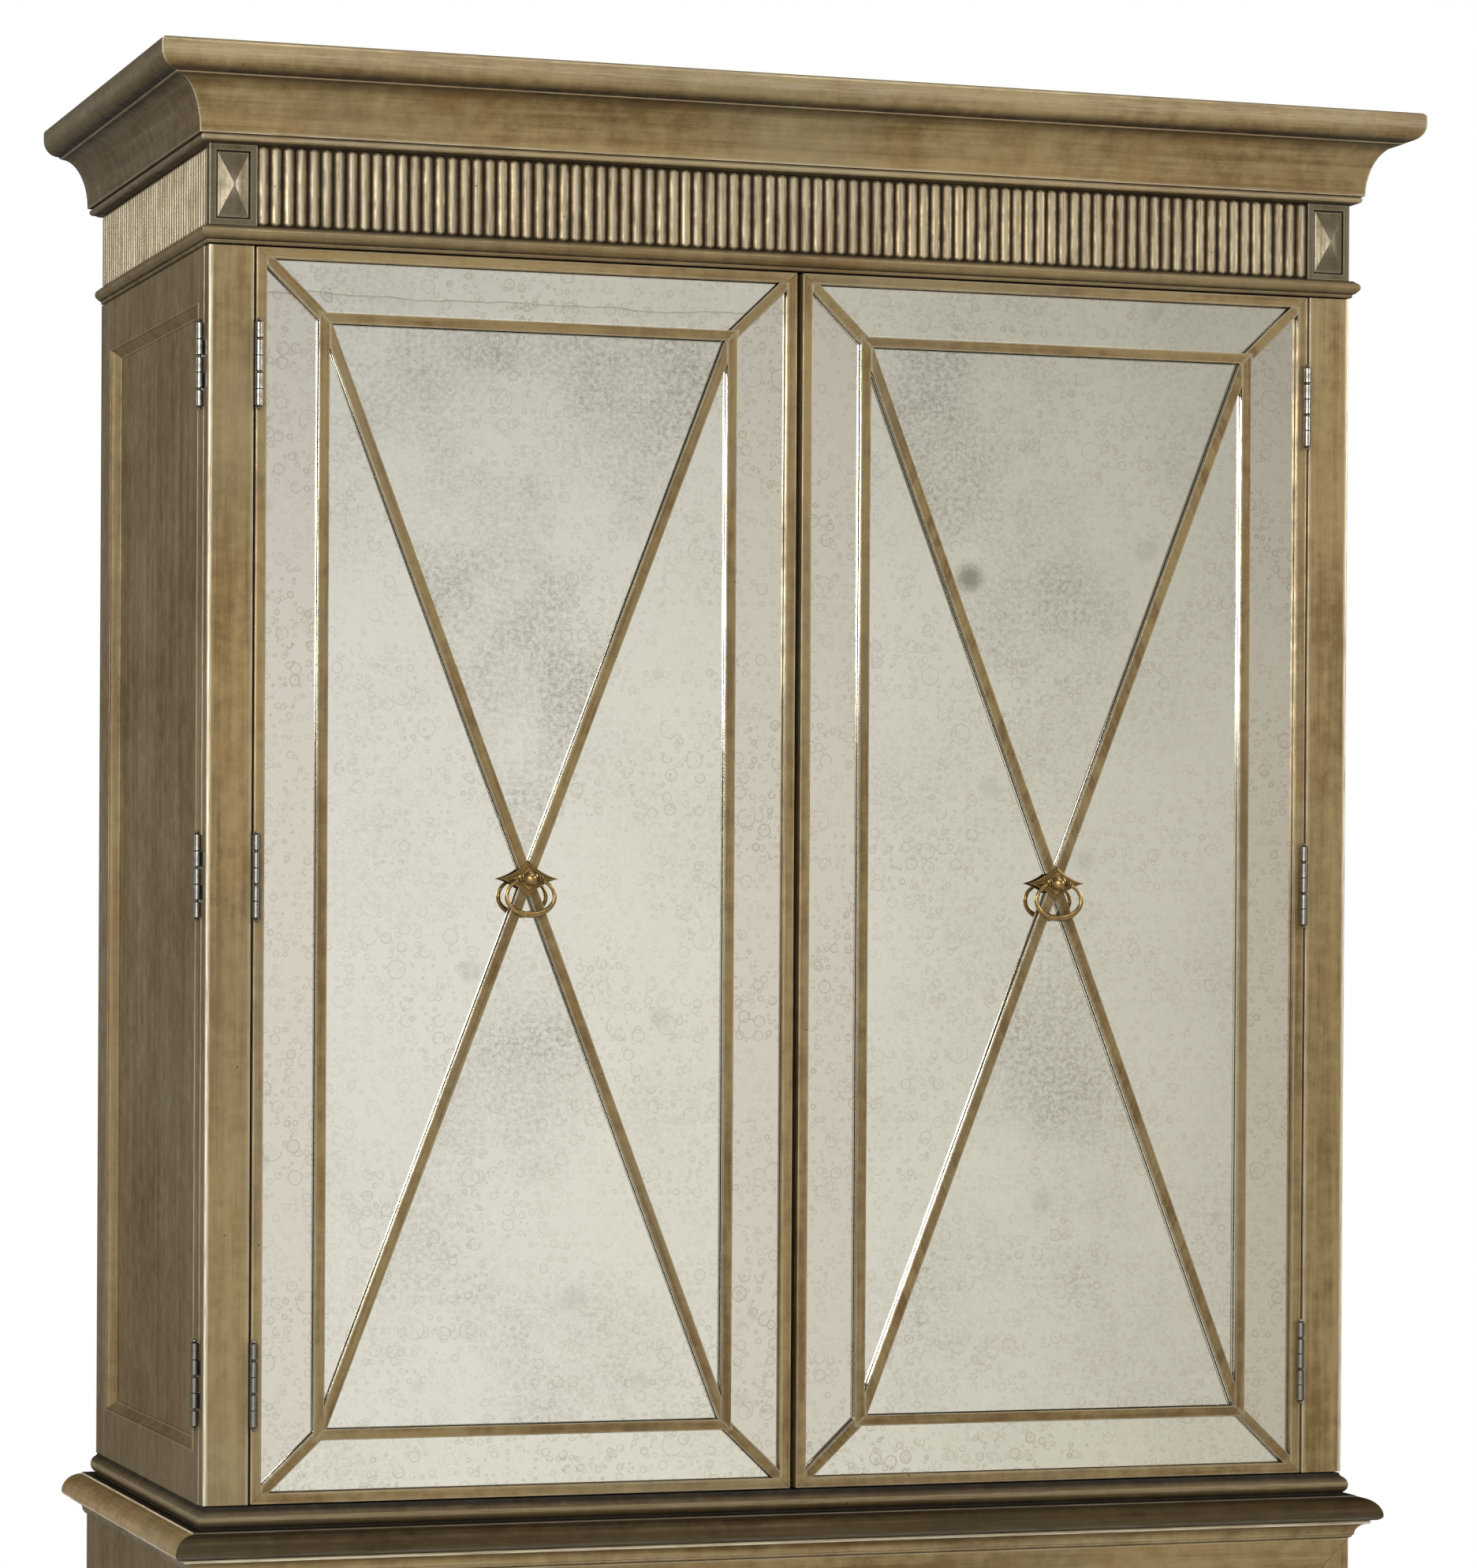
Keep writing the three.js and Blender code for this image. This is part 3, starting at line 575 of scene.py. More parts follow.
def aged_metal_group():
    """Cast or drawn metal: tarnish in the hollows and in cloudy patches, bright on the crests."""
    w, given, out = new_group(
        "Aged metal",
        [
            ("Bright", "colour", (0.6, 0.4, 0.16, 1)),
            ("Tarnish", "colour", (0.12, 0.07, 0.025, 1)),
            ("Amount", "value", 0.4),
        ],
        [("Colour", "colour"), ("Roughness", "value"), ("Height", "value")],
    )
    place = w.add("ShaderNodeTexCoord").outputs["Object"]
    cloud = w.noise(place, 190.0, 4.0, 0.6)
    fine = w.noise(place, 1100.0, 3.0, 0.6)
    relief = w.attribute("relief")
    dark = w.plus(w.times(w.minus(cloud, 0.5), 1.4), given["Amount"])
    dark = w.minus(dark, relief, clamp=True)
    w.tree.links.new(w.blend(dark, given["Bright"], given["Tarnish"]), out["Colour"])
    rough = w.plus(w.times(dark, 0.22), w.times(fine, 0.08))
    w.tree.links.new(w.plus(rough, 0.22), out["Roughness"])
    w.tree.links.new(w.plus(cloud, fine), out["Height"])
    return w.tree


def board_group():
    """Plain stained boards: long growth lines drawn out along the board, and dark pores."""
    w, given, out = new_group(
        "Stained board",
        [("Light", "colour", (0.2, 0.13, 0.07, 1)), ("Dark", "colour", (0.08, 0.05, 0.025, 1))],
        [("Colour", "colour"), ("Roughness", "value"), ("Height", "value")],
    )
    seat = w.add("ShaderNodeTexCoord")
    split = w.add("ShaderNodeSeparateXYZ", {0: seat.outputs["Normal"]}).outputs
    on_side = w.maths("GREATER_THAN", w.maths("ABSOLUTE", split[0]), 0.7)
    place = seat.outputs["Object"]
    drawn = w.between(on_side, (1.6, 14.0, 14.0), (14.0, 1.6, 14.0))
    lines = w.noise(w.scaled(place, drawn), 4.0, 6.0, 0.65)
    cut = w.between(on_side, (40.0, 700.0, 700.0), (700.0, 40.0, 700.0))
    pores = w.ramp(w.noise(w.scaled(place, cut), 1.0, 3.0, 0.6), 0.55, 0.75)
    share = w.plus(w.ramp(lines, 0.3, 0.7), w.times(pores, 0.35), clamp=True)
    w.tree.links.new(w.blend(share, given["Light"], given["Dark"]), out["Colour"])
    w.tree.links.new(w.plus(w.times(share, 0.15), 0.5), out["Roughness"])
    w.tree.links.new(w.minus(lines, w.times(pores, 0.5)), out["Height"])
    return w.tree


GROUPS = {
    "Brushed leaf": brushed_leaf_group,
    "Old silvering": silvering_group,
    "Aged metal": aged_metal_group,
    "Stained board": board_group,
}


def principled(made):
    """The shader of a new material."""
    made.use_nodes = True
    return next(n for n in made.node_tree.nodes if n.type == "BSDF_PRINCIPLED")


def grouped_material(name, group, values, metallic, bump=0.0, shader=None):
    """A material whose colour, roughness and height come from a group, on one Principled BSDF."""
    made = bpy.data.materials.new(name)
    surface = principled(made)
    w = Wiring(made.node_tree)
    tree = bpy.data.node_groups.get(group) or GROUPS[group]()
    effect = w.add("ShaderNodeGroup", node_tree=tree)
    for key, value in values.items():
        effect.inputs[key].default_value = value
    made.node_tree.links.new(effect.outputs["Colour"], surface.inputs["Base Color"])
    made.node_tree.links.new(effect.outputs["Roughness"], surface.inputs["Roughness"])
    surface.inputs["Metallic"].default_value = metallic
    for key, value in (shader or {}).items():
        surface.inputs[key].default_value = value
    if bump:
        bumps = w.add("ShaderNodeBump", {"Strength": bump, "Distance": 0.2 * MM})
        made.node_tree.links.new(effect.outputs["Height"], bumps.inputs["Height"])
        made.node_tree.links.new(bumps.outputs["Normal"], surface.inputs["Normal"])
    return made


def rgba(colour, by=1.0):
    return (colour[0] * by, colour[1] * by, colour[2] * by, 1.0)


# Leaf finishes: tone, how much brighter faces turned sideways are (a painted sheen), metallic,
# bump, the group's own values and, on one, the shader's. The tone of leaf_side* is a share of
# the side tone, a painted shading of the sides.
LEAF_FINISHES = {
    "leaf_upright": (0.96, 1.0, 0.45, 0.25, {"Contrast": 1.3}),
    "leaf_rim": (0.9, 1.0, 0.45, 0.25, {"Contrast": 1.5}),
    "leaf_pyramid": (0.46, 1.0, 0.75, 0.25, {"Leaf": (0.27, 0.24, 0.16, 1)}),
    "leaf_level": (1.0, 1.0, 0.45, 0.25, {"Level": 1.0, "Contrast": 1.2}),
    "leaf_side": (1.0, 1.0, 0.45, 0.25, {}),
    # Painted shade: the cornice returns take a darker copy of leaf_level.
    "leaf_side_level": (0.76, 1.0, 0.45, 0.25, {"Level": 1.0}),
    # Painted shadow on the waist's front, a very low tone, and a strong painted sheen on its sides.
    "leaf_waist": (
        *(0.22, 8.0, 0.4, 0.25),
        {"Level": 1.0, "Cover": 0.1, "Leaf": (0.28, 0.19, 0.085, 1)},
        {"Specular IOR Level": 0.1},
    ),
    "leaf_neck": (0.78, 1.25, 0.45, 0.25, {"Level": 1.0, "Cover": 0.05}),
    # Painted sheen on the torus's sides; its rubbed colour also paints the highlight on its middle
    # band.
    "leaf_torus": (
        *(0.52, 1.9, 0.5, 0.25),
        {"Level": 1.0, "Cover": 0.15, "Rubbed": (0.52, 0.42, 0.24, 1)},
    ),
    "leaf_reeded": (0.75, 1.0, 0.5, 0.3, {"Contrast": 1.7, "Cover": 0.12}),
    # A lit copy of leaf_reeded: brighter and more metallic, a painted highlight of the light from
    # the left on the side reeds.
    "leaf_reeded_side": (1.22, 1.0, 0.75, 0.3, {"Contrast": 1.1, "Cover": -0.03}),
    "glazing_bar": (0.82, 1.0, 0.5, 0.07, {"Contrast": 1.7}),
}

# Mirror finishes: strength of the bubbles and of the clouds, and a tint of the silver.
MIRROR_FINISHES = {
    "mirror_field": (0.55, 1.0, (0.965, 0.98, 0.985)),
    "mirror_upright": (0.75, 0.6, (0.88, 0.865, 0.85)),
    "mirror_end": (0.75, 0.6, (0.965, 0.98, 0.96)),
}


def polish_bar_walls(made, colours):
    """Turns the walls of the glazing bars into smooth bright metal that mirrors the panes."""
    polish = 0.07
    tree = made.node_tree
    w, surface = Wiring(tree), principled(made)
    effect = next(n for n in tree.nodes if n.type == "GROUP")
    wall = w.ramp(w.attribute("wall"), 0.4, 0.6)
    shown = w.blend(wall, effect.outputs["Colour"], rgba(colours.wall))
    tree.links.new(shown, surface.inputs["Base Color"])
    rough = w.times(w.minus(1.0, wall), effect.outputs["Roughness"])
    tree.links.new(w.plus(rough, w.times(wall, polish)), surface.inputs["Roughness"])
    tree.links.new(w.plus(w.times(wall, 0.5), 0.5), surface.inputs["Metallic"])


def leaf_material(name, c):
    """A finish of metal leaf, from its row of the table."""
    tone, side_sheen_gain, metallic, bump, own, *shader = LEAF_FINISHES[name]
    if name.startswith("leaf_side"):
        tone = c.side_tone * tone
    values = {
        **{label: rgba(getattr(c, label.lower())) for label in ("Leaf", "Glaze", "Rubbed", "Deep")},
        **{"Tone": tone, "Side gain": side_sheen_gain},
        **own,
    }
    made = grouped_material(name, "Brushed leaf", values, metallic, bump, *shader)
    if name == "glazing_bar":
        polish_bar_walls(made, c)
    return made


def make_material(name, c):
    """One of the armoire's finishes, by name."""
    if name in LEAF_FINISHES:
        return leaf_material(name, c)
    if name in MIRROR_FINISHES:
        bubbles, clouds, tint = MIRROR_FINISHES[name]
        values = {
            "Silver": rgba([a * b for a, b in zip(c.silver, tint)]),
            "Stain": rgba(c.stain),
            "Cloud": rgba(c.cloud),
            "Bubbles": bubbles,
            "Clouds": clouds,
        }
        return grouped_material(name, "Old silvering", values, 1.0)
    if name == "brass":
        values = {"Bright": rgba(c.brass), "Tarnish": rgba(c.brass_tarnish)}
        return grouped_material(name, "Aged metal", values, 1.0, 0.12)
    if name == "pewter":
        values = {"Bright": rgba(c.pewter), "Tarnish": rgba(c.pewter_tarnish), "Amount": 0.35}
        return grouped_material(name, "Aged metal", values, 1.0, 0.1)
    values = {"Light": rgba(c.board), "Dark": rgba(c.board, 0.4)}
    return grouped_material(name, "Stained board", values, 0.0, 0.3)


def material(name):
    """The finish of that name, made the first time that it is asked for."""
    made = bpy.data.materials.get(name)
    return made or make_material(name, bpy.context.scene.armoire_colours)


# ---- sizes and colours ---------------------------------------------------------------------
def length(name, description, default):
    return bpy.props.FloatProperty(
        name=name, description=description, default=default, unit="LENGTH", subtype="DISTANCE"
    )


def colour(name, description, default):
    return bpy.props.FloatVectorProperty(
        name=name, description=description, default=default, subtype="COLOR", min=0.0, max=1.0
    )


class ArmoireSizes(bpy.types.PropertyGroup):
    """Sizes of the detail that the frame doesn't fix."""

    reeds_front: bpy.props.IntProperty(
        name="Front reeds", description="Reeds along the front of the frieze", default=88
    )
    reeds_side: bpy.props.IntProperty(
        name="Side reeds", description="Reeds along each side of the frieze", default=46
    )
    reed_deep: length("Reed depth", "Depth of the grooves between reeds", 4 * MM)
    rim: length("Door rim", "Width of the raised rim round a door", 10 * MM)
    border_side: length("Side border", "Width of the upright border panes", 49 * MM)
    border_end: length("End border", "Height of the top and bottom border panes", 47 * MM)
    bar_width: length("Bar width", "Width of the glazing bars", 9.8 * MM)
    bar_round: length("Bar arris", "Radius of the glazing bars' front edges", 0.45 * MM)
    bar_dull: length("Bar dull band", "Height of the dull band on a bar's wall", 2.2 * MM)
    pane_gap: length("Pane gap", "Gap between a pane and the bars round it", 0.3 * MM)
    pane_edge: length("Pane edge", "Width of the ground edge of a pane", 0.5 * MM)
    panel_deep: length("Panel depth", "Sinking of the flat panels in the case sides", 9.5 * MM)
    panel_slope: length("Panel moulding", "Width of the moulding round a sunk panel", 10 * MM)
    knuckle_gap: length("Knuckle gap", "Open gap between two hinge knuckles", 2.2 * MM)


class ArmoireColours(bpy.types.PropertyGroup):
    """Colours of the finishes, as linear values."""

    leaf: colour("Leaf", "Brushed metal leaf", (0.254, 0.185, 0.079))
    glaze: colour("Glaze", "Brown glaze over the leaf", (0.115, 0.068, 0.018))
    # The rubbed and deep colours also paint highlights and shade wherever the relief attribute puts
    # them.
    rubbed: colour("Rubbed leaf", "Bright leaf on worn edges", (0.56, 0.5, 0.37))
    deep: colour("Deep glaze", "Glaze settled in hollows", (0.020, 0.012, 0.006))
    wall: colour("Bar wall", "Bright walls of the glazing bars", (0.62, 0.6, 0.52))
    silver: colour("Silver", "Clear silvering of the mirrors", (0.765, 0.745, 0.67))
    stain: colour("Stain", "Rims of the bubbles in the mirrors", (0.27, 0.215, 0.14))
    cloud: colour("Cloud", "Grey clouds in the mirrors", (0.25, 0.235, 0.195))
    brass: colour("Brass", "Polished brass of the pulls", (0.33, 0.22, 0.085))
    brass_tarnish: colour("Brass tarnish", "Dark places on the pulls", (0.085, 0.05, 0.016))
    pewter: colour("Pewter", "Bright metal of the hinges", (0.22, 0.21, 0.185))
    pewter_tarnish: colour("Pewter tarnish", "Dark places on the hinges", (0.07, 0.062, 0.048))
    board: colour("Board", "Plain boards inside and behind", (0.19, 0.125, 0.065))
    # Painted light: the side copies of the leaf finish take this share of their tone, set apart
    # from the front to shade the sides.
    side_tone: bpy.props.FloatProperty(
        name="Side tone", description="Brightness of the sides' finish", default=0.98
    )


# ---- cornice, frieze and mouldings ---------------------------------------------------------
def cornice_outline():
    """The cornice from its lower bead to its rounded nose, then down its hidden inner face."""
    lift = FRIEZE_TOP / MM
    # As in the other moulding profiles, the relief values mix real wear and glaze with painted
    # light and shade.
    rows = profile(
        (0, lift + 0.25, -0.7),
        (3, lift + 1.3, -0.8),
        (5.2, lift + 1.5, -0.4),
        arc(6.3, lift + 4.6, 3.2, 3.1, -70, 80, 8, 0.1, 0.35),
        (6.9, lift + 7.9, -0.9),
        (9.4, lift + 8.0, -0.5),
        (11.3, lift + 8.1, 0.5),
        (11.6, lift + 9.4, 0.15),
        arc(38, lift + 9.4, -26.4, 46.6, 2, 58, 12, 0.0, -0.08),
        arc(38, lift + 9.4, -26.4, 46.6, 63, 88, 6, -0.15, -0.7),
        (37.6, lift + 56.0, -0.3),
        (38.2, lift + 56.4, 0.5),
        (39.5, lift + 56.6, 0.55),
        (39.8, lift + 57.4, -1.0),
        (41.2, lift + 58.3, -0.9),
        arc(42.0, lift + 74.2, 14.0, 15.6, -78, -46, 4, -0.75, -0.12),
        arc(42.0, lift + 74.2, 14.0, 15.6, -38, 0, 5, 0.02, 0.2),
        arc(51, lift + 80.2, 5, 5, 0, 90, 6, 0.12, 0.3),
    )
    back = profile((-19.5, lift + 85.2, 0), (-19.5, lift + 0.25, -0.5))
    return np.concatenate([rows, back])


def reeded_board(shell, count, size, deep, highlight_lean, at, across, out):
    """A board faced with upright reeds, its size given as (width, height, thickness). Across one
    reed, with s from -1 to 1 between grooves and e rising from 0 to 1 over the last few
    millimetres of its length, the surface lies deep (1 - sqrt(1 - |s|^2.2 - e^2)) below the
    crest, so that the reeds end in small domes. A bright line runs along each reed where s is
    minus the lean, off the crest towards the light: rubbed leaf and a painted highlight. The
    dark grooves are glaze and painted shade."""
    width, high, thick = size
    t = np.array([0.0, 0.04, 0.1, 0.2, 0.34, 0.5, 0.66, 0.8, 0.9, 0.96])
    u = np.append((np.arange(count)[:, None] + t).ravel(), count)
    s = 2 * (u % 1) - 1
    dome = 4.2 * MM
    ends = dome * np.array([0.0, 0.08, 0.25, 0.5, 0.75, 1.0])
    v = np.concatenate([ends, high / 2 + np.linspace(-0.2, 0.2, 3) * high, high - ends[::-1]])
    e = np.clip(1 - np.minimum(v, high - v) / dome, 0, 1)
    inside = 1 - np.abs(s[:, None]) ** 2.2 - e[None, :] ** 2
    depth = deep * (1 - np.sqrt(np.clip(inside, 0, 1)))
    # Painted highlight: the bright line sits off the crest, towards the light, by the lean.
    crest = 1.0 - 2.3 * np.abs(s + highlight_lean)
    relief = np.clip(crest[:, None] - 1.2 * e[None, :] ** 2, -1, 1)
    place = np.asarray(at, float) + (u / count * width)[:, None, None] * across
    place = place + v[None, :, None] * Z
    face = place - depth[..., None] * out
    back = place[:, [0, -1]] - thick * out
    n, m = len(u), len(v)
    points = np.concatenate([face.reshape(-1, 3), back.reshape(-1, 3)])
    i = np.arange(n - 1)
    grid = i[:, None] * m + np.arange(m - 1)
    front = np.stack([grid, grid + m, grid + m + 1, grid + 1], -1).reshape(-1, 4)
    b = n * m + 2 * i
    foot = np.stack([i * m, b, b + 2, (i + 1) * m], 1)
    head = np.stack([i * m + m - 1, (i + 1) * m + m - 1, b + 3, b + 1], 1)
    rear = np.stack([b, b + 1, b + 3, b + 2], 1)
    caps = [
        np.concatenate([np.arange(m), [n * m + 1, n * m]]),
        np.concatenate([(n - 1) * m + np.arange(m)[::-1], [n * m + 2 * n - 2, n * m + 2 * n - 1]]),
    ]
    values = np.concatenate([relief.ravel(), np.full(2 * n, -0.5)])
    return shell.add(points, np.concatenate([front, foot, head, rear]), caps, relief=values)


def corner_block(shell, low, high):
    """A block with a sunk field and a raised pyramid: rectangles of falling size at their
    depths, from the back face over the rim and the recess to the point."""
    mid, half = (low + high) / 2, (high - low) / 2
    w, h = half[0] / MM, half[2] / MM
    base_w, base_h = w - 7.6, h - 7.2
    steps = [
        (w, h, high[1] / MM, 0.0),
        (w, h, FRONT / MM + 0.5, 0.3),
        (w - 0.15, h - 0.15, FRONT / MM + 0.15, 0.6),
        (w - 0.5, h - 0.5, FRONT / MM, 0.4),
        (w - 2, h - 2, FRONT / MM, 0.0),
        (w - 5.2, h - 4.8, FRONT / MM, 0.05),
        (w - 6.1, h - 5.7, FRONT / MM, 0.5),
        (w - 6.4, h - 6.0, FRONT / MM + 0.3, 0.2),
        (w - 6.9, h - 6.5, FRONT / MM + 2.3, -1.0),
        (base_w + 0.3, base_h + 0.3, FRONT / MM + 2.3, -1.0),
        (base_w, base_h, FRONT / MM + 1.9, -0.2),
        (base_w - 0.3, base_h - 0.3, FRONT / MM + 1.5, 0.5),
        (base_w * 0.9, base_h * 0.9, FRONT / MM + 0.9, 0.1),
        (base_w * 0.5, base_h * 0.5, FRONT / MM - 1.5, 0.05),
        (base_w * 0.05, base_h * 0.05, FRONT / MM - 4.3, 0.6),
    ]
    steps = np.array(steps) * [MM, MM, MM, 1]
    signs = np.array([(-1, -1), (1, -1), (1, 1), (-1, 1)])
    x = mid[0] + signs[None, :, 0] * steps[:, None, 0]
    z = mid[2] + signs[None, :, 1] * steps[:, None, 1]
    y = np.broadcast_to(steps[:, None, 2], x.shape)
    return shell.loft(np.stack([x, y, z], -1), steps[:, 3, None])


class ARMOIRE_OT_cornice(bpy.types.Operator):
    """Builds the mitred cornice: a front length and two returns"""

    bl_idname = "armoire.cornice"
    bl_label = "Cornice"

    def execute(self, context):
        outline = cornice_outline()
        gap, fade = 0.12 * MM, 1.6 * MM
        front = [
            (-HALF + gap, FRONT, -1, -1, 0.8),
            (-HALF + fade, FRONT, -1, -1, 0),
            (HALF - fade, FRONT, 1, -1, 0),
            (HALF - gap, FRONT, 1, -1, 0.8),
        ]
        run_front = sweep(Shell(), outline, front)
        run_front.build("cornice_run_front", "case", "leaf_level", ["cornice_front"])
        side = [
            (-HALF, BACK, -1, 0, 0),
            (-HALF, FRONT + fade, -1, -1, 0),
            (-HALF, FRONT + gap, -1, -1, 0.3),
        ]
        run_side = sweep(Shell(), outline, side)
        build_pair(run_side, "cornice_run", "case", "leaf_side_level", ["cornice_side_{side}"])
        return {"FINISHED"}


class ARMOIRE_OT_frieze(bpy.types.Operator):
    """Builds the reeded frieze boards and the pyramid corner blocks"""

    bl_idname = "armoire.frieze"
    bl_label = "Frieze"

    def execute(self, context):
        sizes = context.scene.armoire_sizes
        deep = sizes.reed_deep
        low, high = span("frieze_front")
        size = (high[0] - low[0], high[2] - low[2], high[1] - FRONT)
        at = (low[0], FRONT, low[2])
        # Leans of 0.12 on the front and 0.5 on the sides put the painted highlights towards the
        # light.
        front = reeded_board(Shell(), sizes.reeds_front, size, deep, 0.12, at, X, -Y)
        front.build("frieze_reeds_front", "case", "leaf_reeded", ["frieze_front"])
        low, high = span("frieze_side_left")
        size = (high[1] - low[1], high[2] - low[2], high[0] - low[0])
        at = (-HALF, low[1], low[2])
        side = reeded_board(Shell(), sizes.reeds_side, size, deep, 0.5, at, Y, -X)
        build_pair(side, "frieze_reeds", "case", "leaf_reeded_side", ["frieze_side_{side}"])
        low, high = span("corner_block_left")
        low[1] = FRONT
        block, nodes = corner_block(Shell(), low, high), ["corner_block_{side}"]
        build_pair(block, "pyramid_block", "case", "leaf_pyramid", nodes, crease=6)
        return {"FINISHED"}


class ARMOIRE_OT_mouldings(bpy.types.Operator):
    """Builds the moulded boards at the neck, base, waist and foot"""

    bl_idname = "armoire.mouldings"
    bl_label = "Mouldings"

    def execute(self, context):
        # The relief values in these profiles mix real wear and glaze with painted light and shade.
        z = NECK_BOTTOM / MM
        neck = profile(
            (2, z, -0.6),
            (2.4, z + 2.6, 0.1),
            (2.6, z + 3.1, -1.0),
            (4.4, z + 3.6, -0.7),
            arc(3.2, z + 9.5, 5.3, 5.2, -62, 62, 12, -0.05, 0.1),
            (4.6, z + 14.8, -0.6),
            (3, z + 16.2, -0.9),
        )
        board = stacked(Shell(), neck, span("neck_board")[1][1])
        board.build("neck_moulding", "case", "leaf_neck", ["neck_board"])

        z = WAIST_TOP / MM
        # Painted light on the torus: low relief darkens the parts turned up under the doors and
        # turned down, and high relief brightens its middle band.
        base = profile(
            (2, z + 0.3, -1.0),
            (0.6, z + 1.6, -1.0),
            arc(-2, z + 9.9, 7.5, 8.4, -68, -12, 7, -0.9, 0.1),
            arc(-2, z + 9.9, 7.5, 8.4, -6, 16, 4, 0.45, 0.4),
            arc(-2, z + 9.9, 7.5, 8.4, 22, 70, 6, -0.2, -0.85),
            (-1, z + 19.5, -1.0),
            (-1, z + 21, -1.0),
        )
        board = stacked(Shell(), base, CABINET_BACK)
        high = span("base_board")[1]
        side = HALF - (SIDE_HIGH[0] - SIDE_LOW[0])
        floor_low = (-side + 0.25 * MM, SIDE_LOW[1], z * MM + 5 * MM)
        plank(board, floor_low, (side - 0.25 * MM, span("upper_back")[0][1], high[2]), 0, 2)
        board.build("base_moulding", "case", "leaf_torus", ["base_board"])

        z = COVE_TOP / MM
        waist = profile(
            (21.5, z + 0.25, -0.8),
            (27.5, z + 1.2, 0.2),
            (30.4, z + 2.9, 0.75),
            (31.4, z + 4.6, 0.4),
            arc(12, z + 5.5, 19.5, 17, 0, 40, 8, 0.12, 0.0),
            arc(12, z + 5.5, 19.5, 17, 46, 84, 7, -0.05, -0.15),
            (12.6, z + 22.4, -0.3),
            (11.9, z + 22.8, 0.9),
            (11.0, z + 23.5, 0.9),
            (10.6, z + 24, -0.6),
        )
        # The waist's finish paints a shadow on its front and a sheen on its sides.
        board = stacked(Shell(), waist, BACK)
        board.build("waist_moulding", "case", "leaf_waist", ["waist_top"])

        z = COVE_BOTTOM / MM
        inner = (-LOWER_LOW[0] - HALF) / MM + 0.3
        cove = profile(
            (inner, z, -0.8),
            (8.2, z + 1.3, -0.3),
            (9, z + 3.2, 0.4),
            (9.9, z + 3.5, -0.8),
            arc(22, z + 3.6, -12, 11.4, 3, 86, 12, 0.1, -0.2),
            (21.9, z + 15.2, 0.8),
            (22, z + 16.4, 0.9),
            (22, z + 18, 0.2),
            (inner, z + 18, 0),
        )
        left = [(-HALF, BACK, -1, 0, 0), (-HALF, FRONT, -1, -1, 0)]
        path = [*left, (HALF, FRONT, 1, -1, 0), (HALF, BACK, 1, 0, 0)]
        shell = sweep(Shell(), cove, path)
        shell.build("cove_moulding", "case", "leaf_level", ["waist_cove"])

        top = span("plinth")[1][2] / MM
        foot = profile(
            (17.4, 0, -0.3),
            (18, 0.8, 0.4),
            (18, top - 24, 0.0),
            (17.4, top - 22.4, 0.4),
            (16.6, top - 21.6, -0.8),
            arc(6, top - 20, 10.5, 15, 4, 82, 12, 0.15, -0.3),
            (7, top, 0.3),
            (-19.5, top, 0),
            (-19.5, 0, 0),
        )
        shell = sweep(Shell(), foot, path)
        plank(shell, (-HALF + 20 * MM, BACK - 22 * MM, 0), (HALF - 20 * MM, BACK, top * MM), 0, 1)
        shell.build("foot_moulding", "case", "leaf_level", ["plinth"])
        return {"FINISHED"}


# ---- case sides, folding stiles and face frame ---------------------------------------------
def panel_frame(shell, moulding, panel, box, opening, split, deep, slope):
    """One case side: two stiles and two rails round an opening, a mitred moulding that slopes
    down into it, and a flat panel. split is where the rails meet the rear stile."""
    (x0, y0, z0), (x1, y1, z1) = box
    a0, a1, c0, c1 = opening
    plank(shell, (x0, y0, z0), (x1, a0, z1), 2, 0, 0.5 * MM, 0.3)
    plank(shell, (x0, split, z0), (x1, y1, z1), 2, 0, 0.5 * MM, 0.3)
    plank(shell, (x0, a0, z0), (x1, split, c0), 1, 0, 0.3 * MM, 0.1)
    plank(shell, (x0, a0, c1), (x1, split, z1), 1, 0, 0.3 * MM, 0.1)
    if split - a1 > MM:
        plank(shell, (x0, a1, c0), (x1, split, c1), 2, 0, 0.3 * MM, 0.15)
    section = np.array(
        [
            (0, 0.0, 0.3),
            (0.06, 0.06, 0.6),
            (0.16, -0.02, -0.4),
            (0.22, -0.16, 0.1),
            (0.5, -0.5, 0.05),
            (0.8, -0.86, 0.0),
            (0.9, -0.9, 0.45),
            (1.0, -0.98, -0.7),
            (1.0, -1.3, 0.0),
            (0.0, -1.3, 0.0),
        ]
    )
    section = section * [slope, deep, 1]
    corners = [(a0, c0), (a1, c0), (a1, c1), (a0, c1)]
    for k in range(4):
        start, end = np.array(corners[k]), np.array(corners[(k + 1) % 4])
        inward = way_between(start, end)[1]
        run(moulding, section, (x0, *start), (x0, *end), (0, *inward), -X, 1.0)
    edge = slope - 0.5 * MM
    plank(panel, (x0 + deep, a0 + edge, c0 + edge), (x1, a1 - edge, c1 - edge), 2, 0, 0.3 * MM, 0)


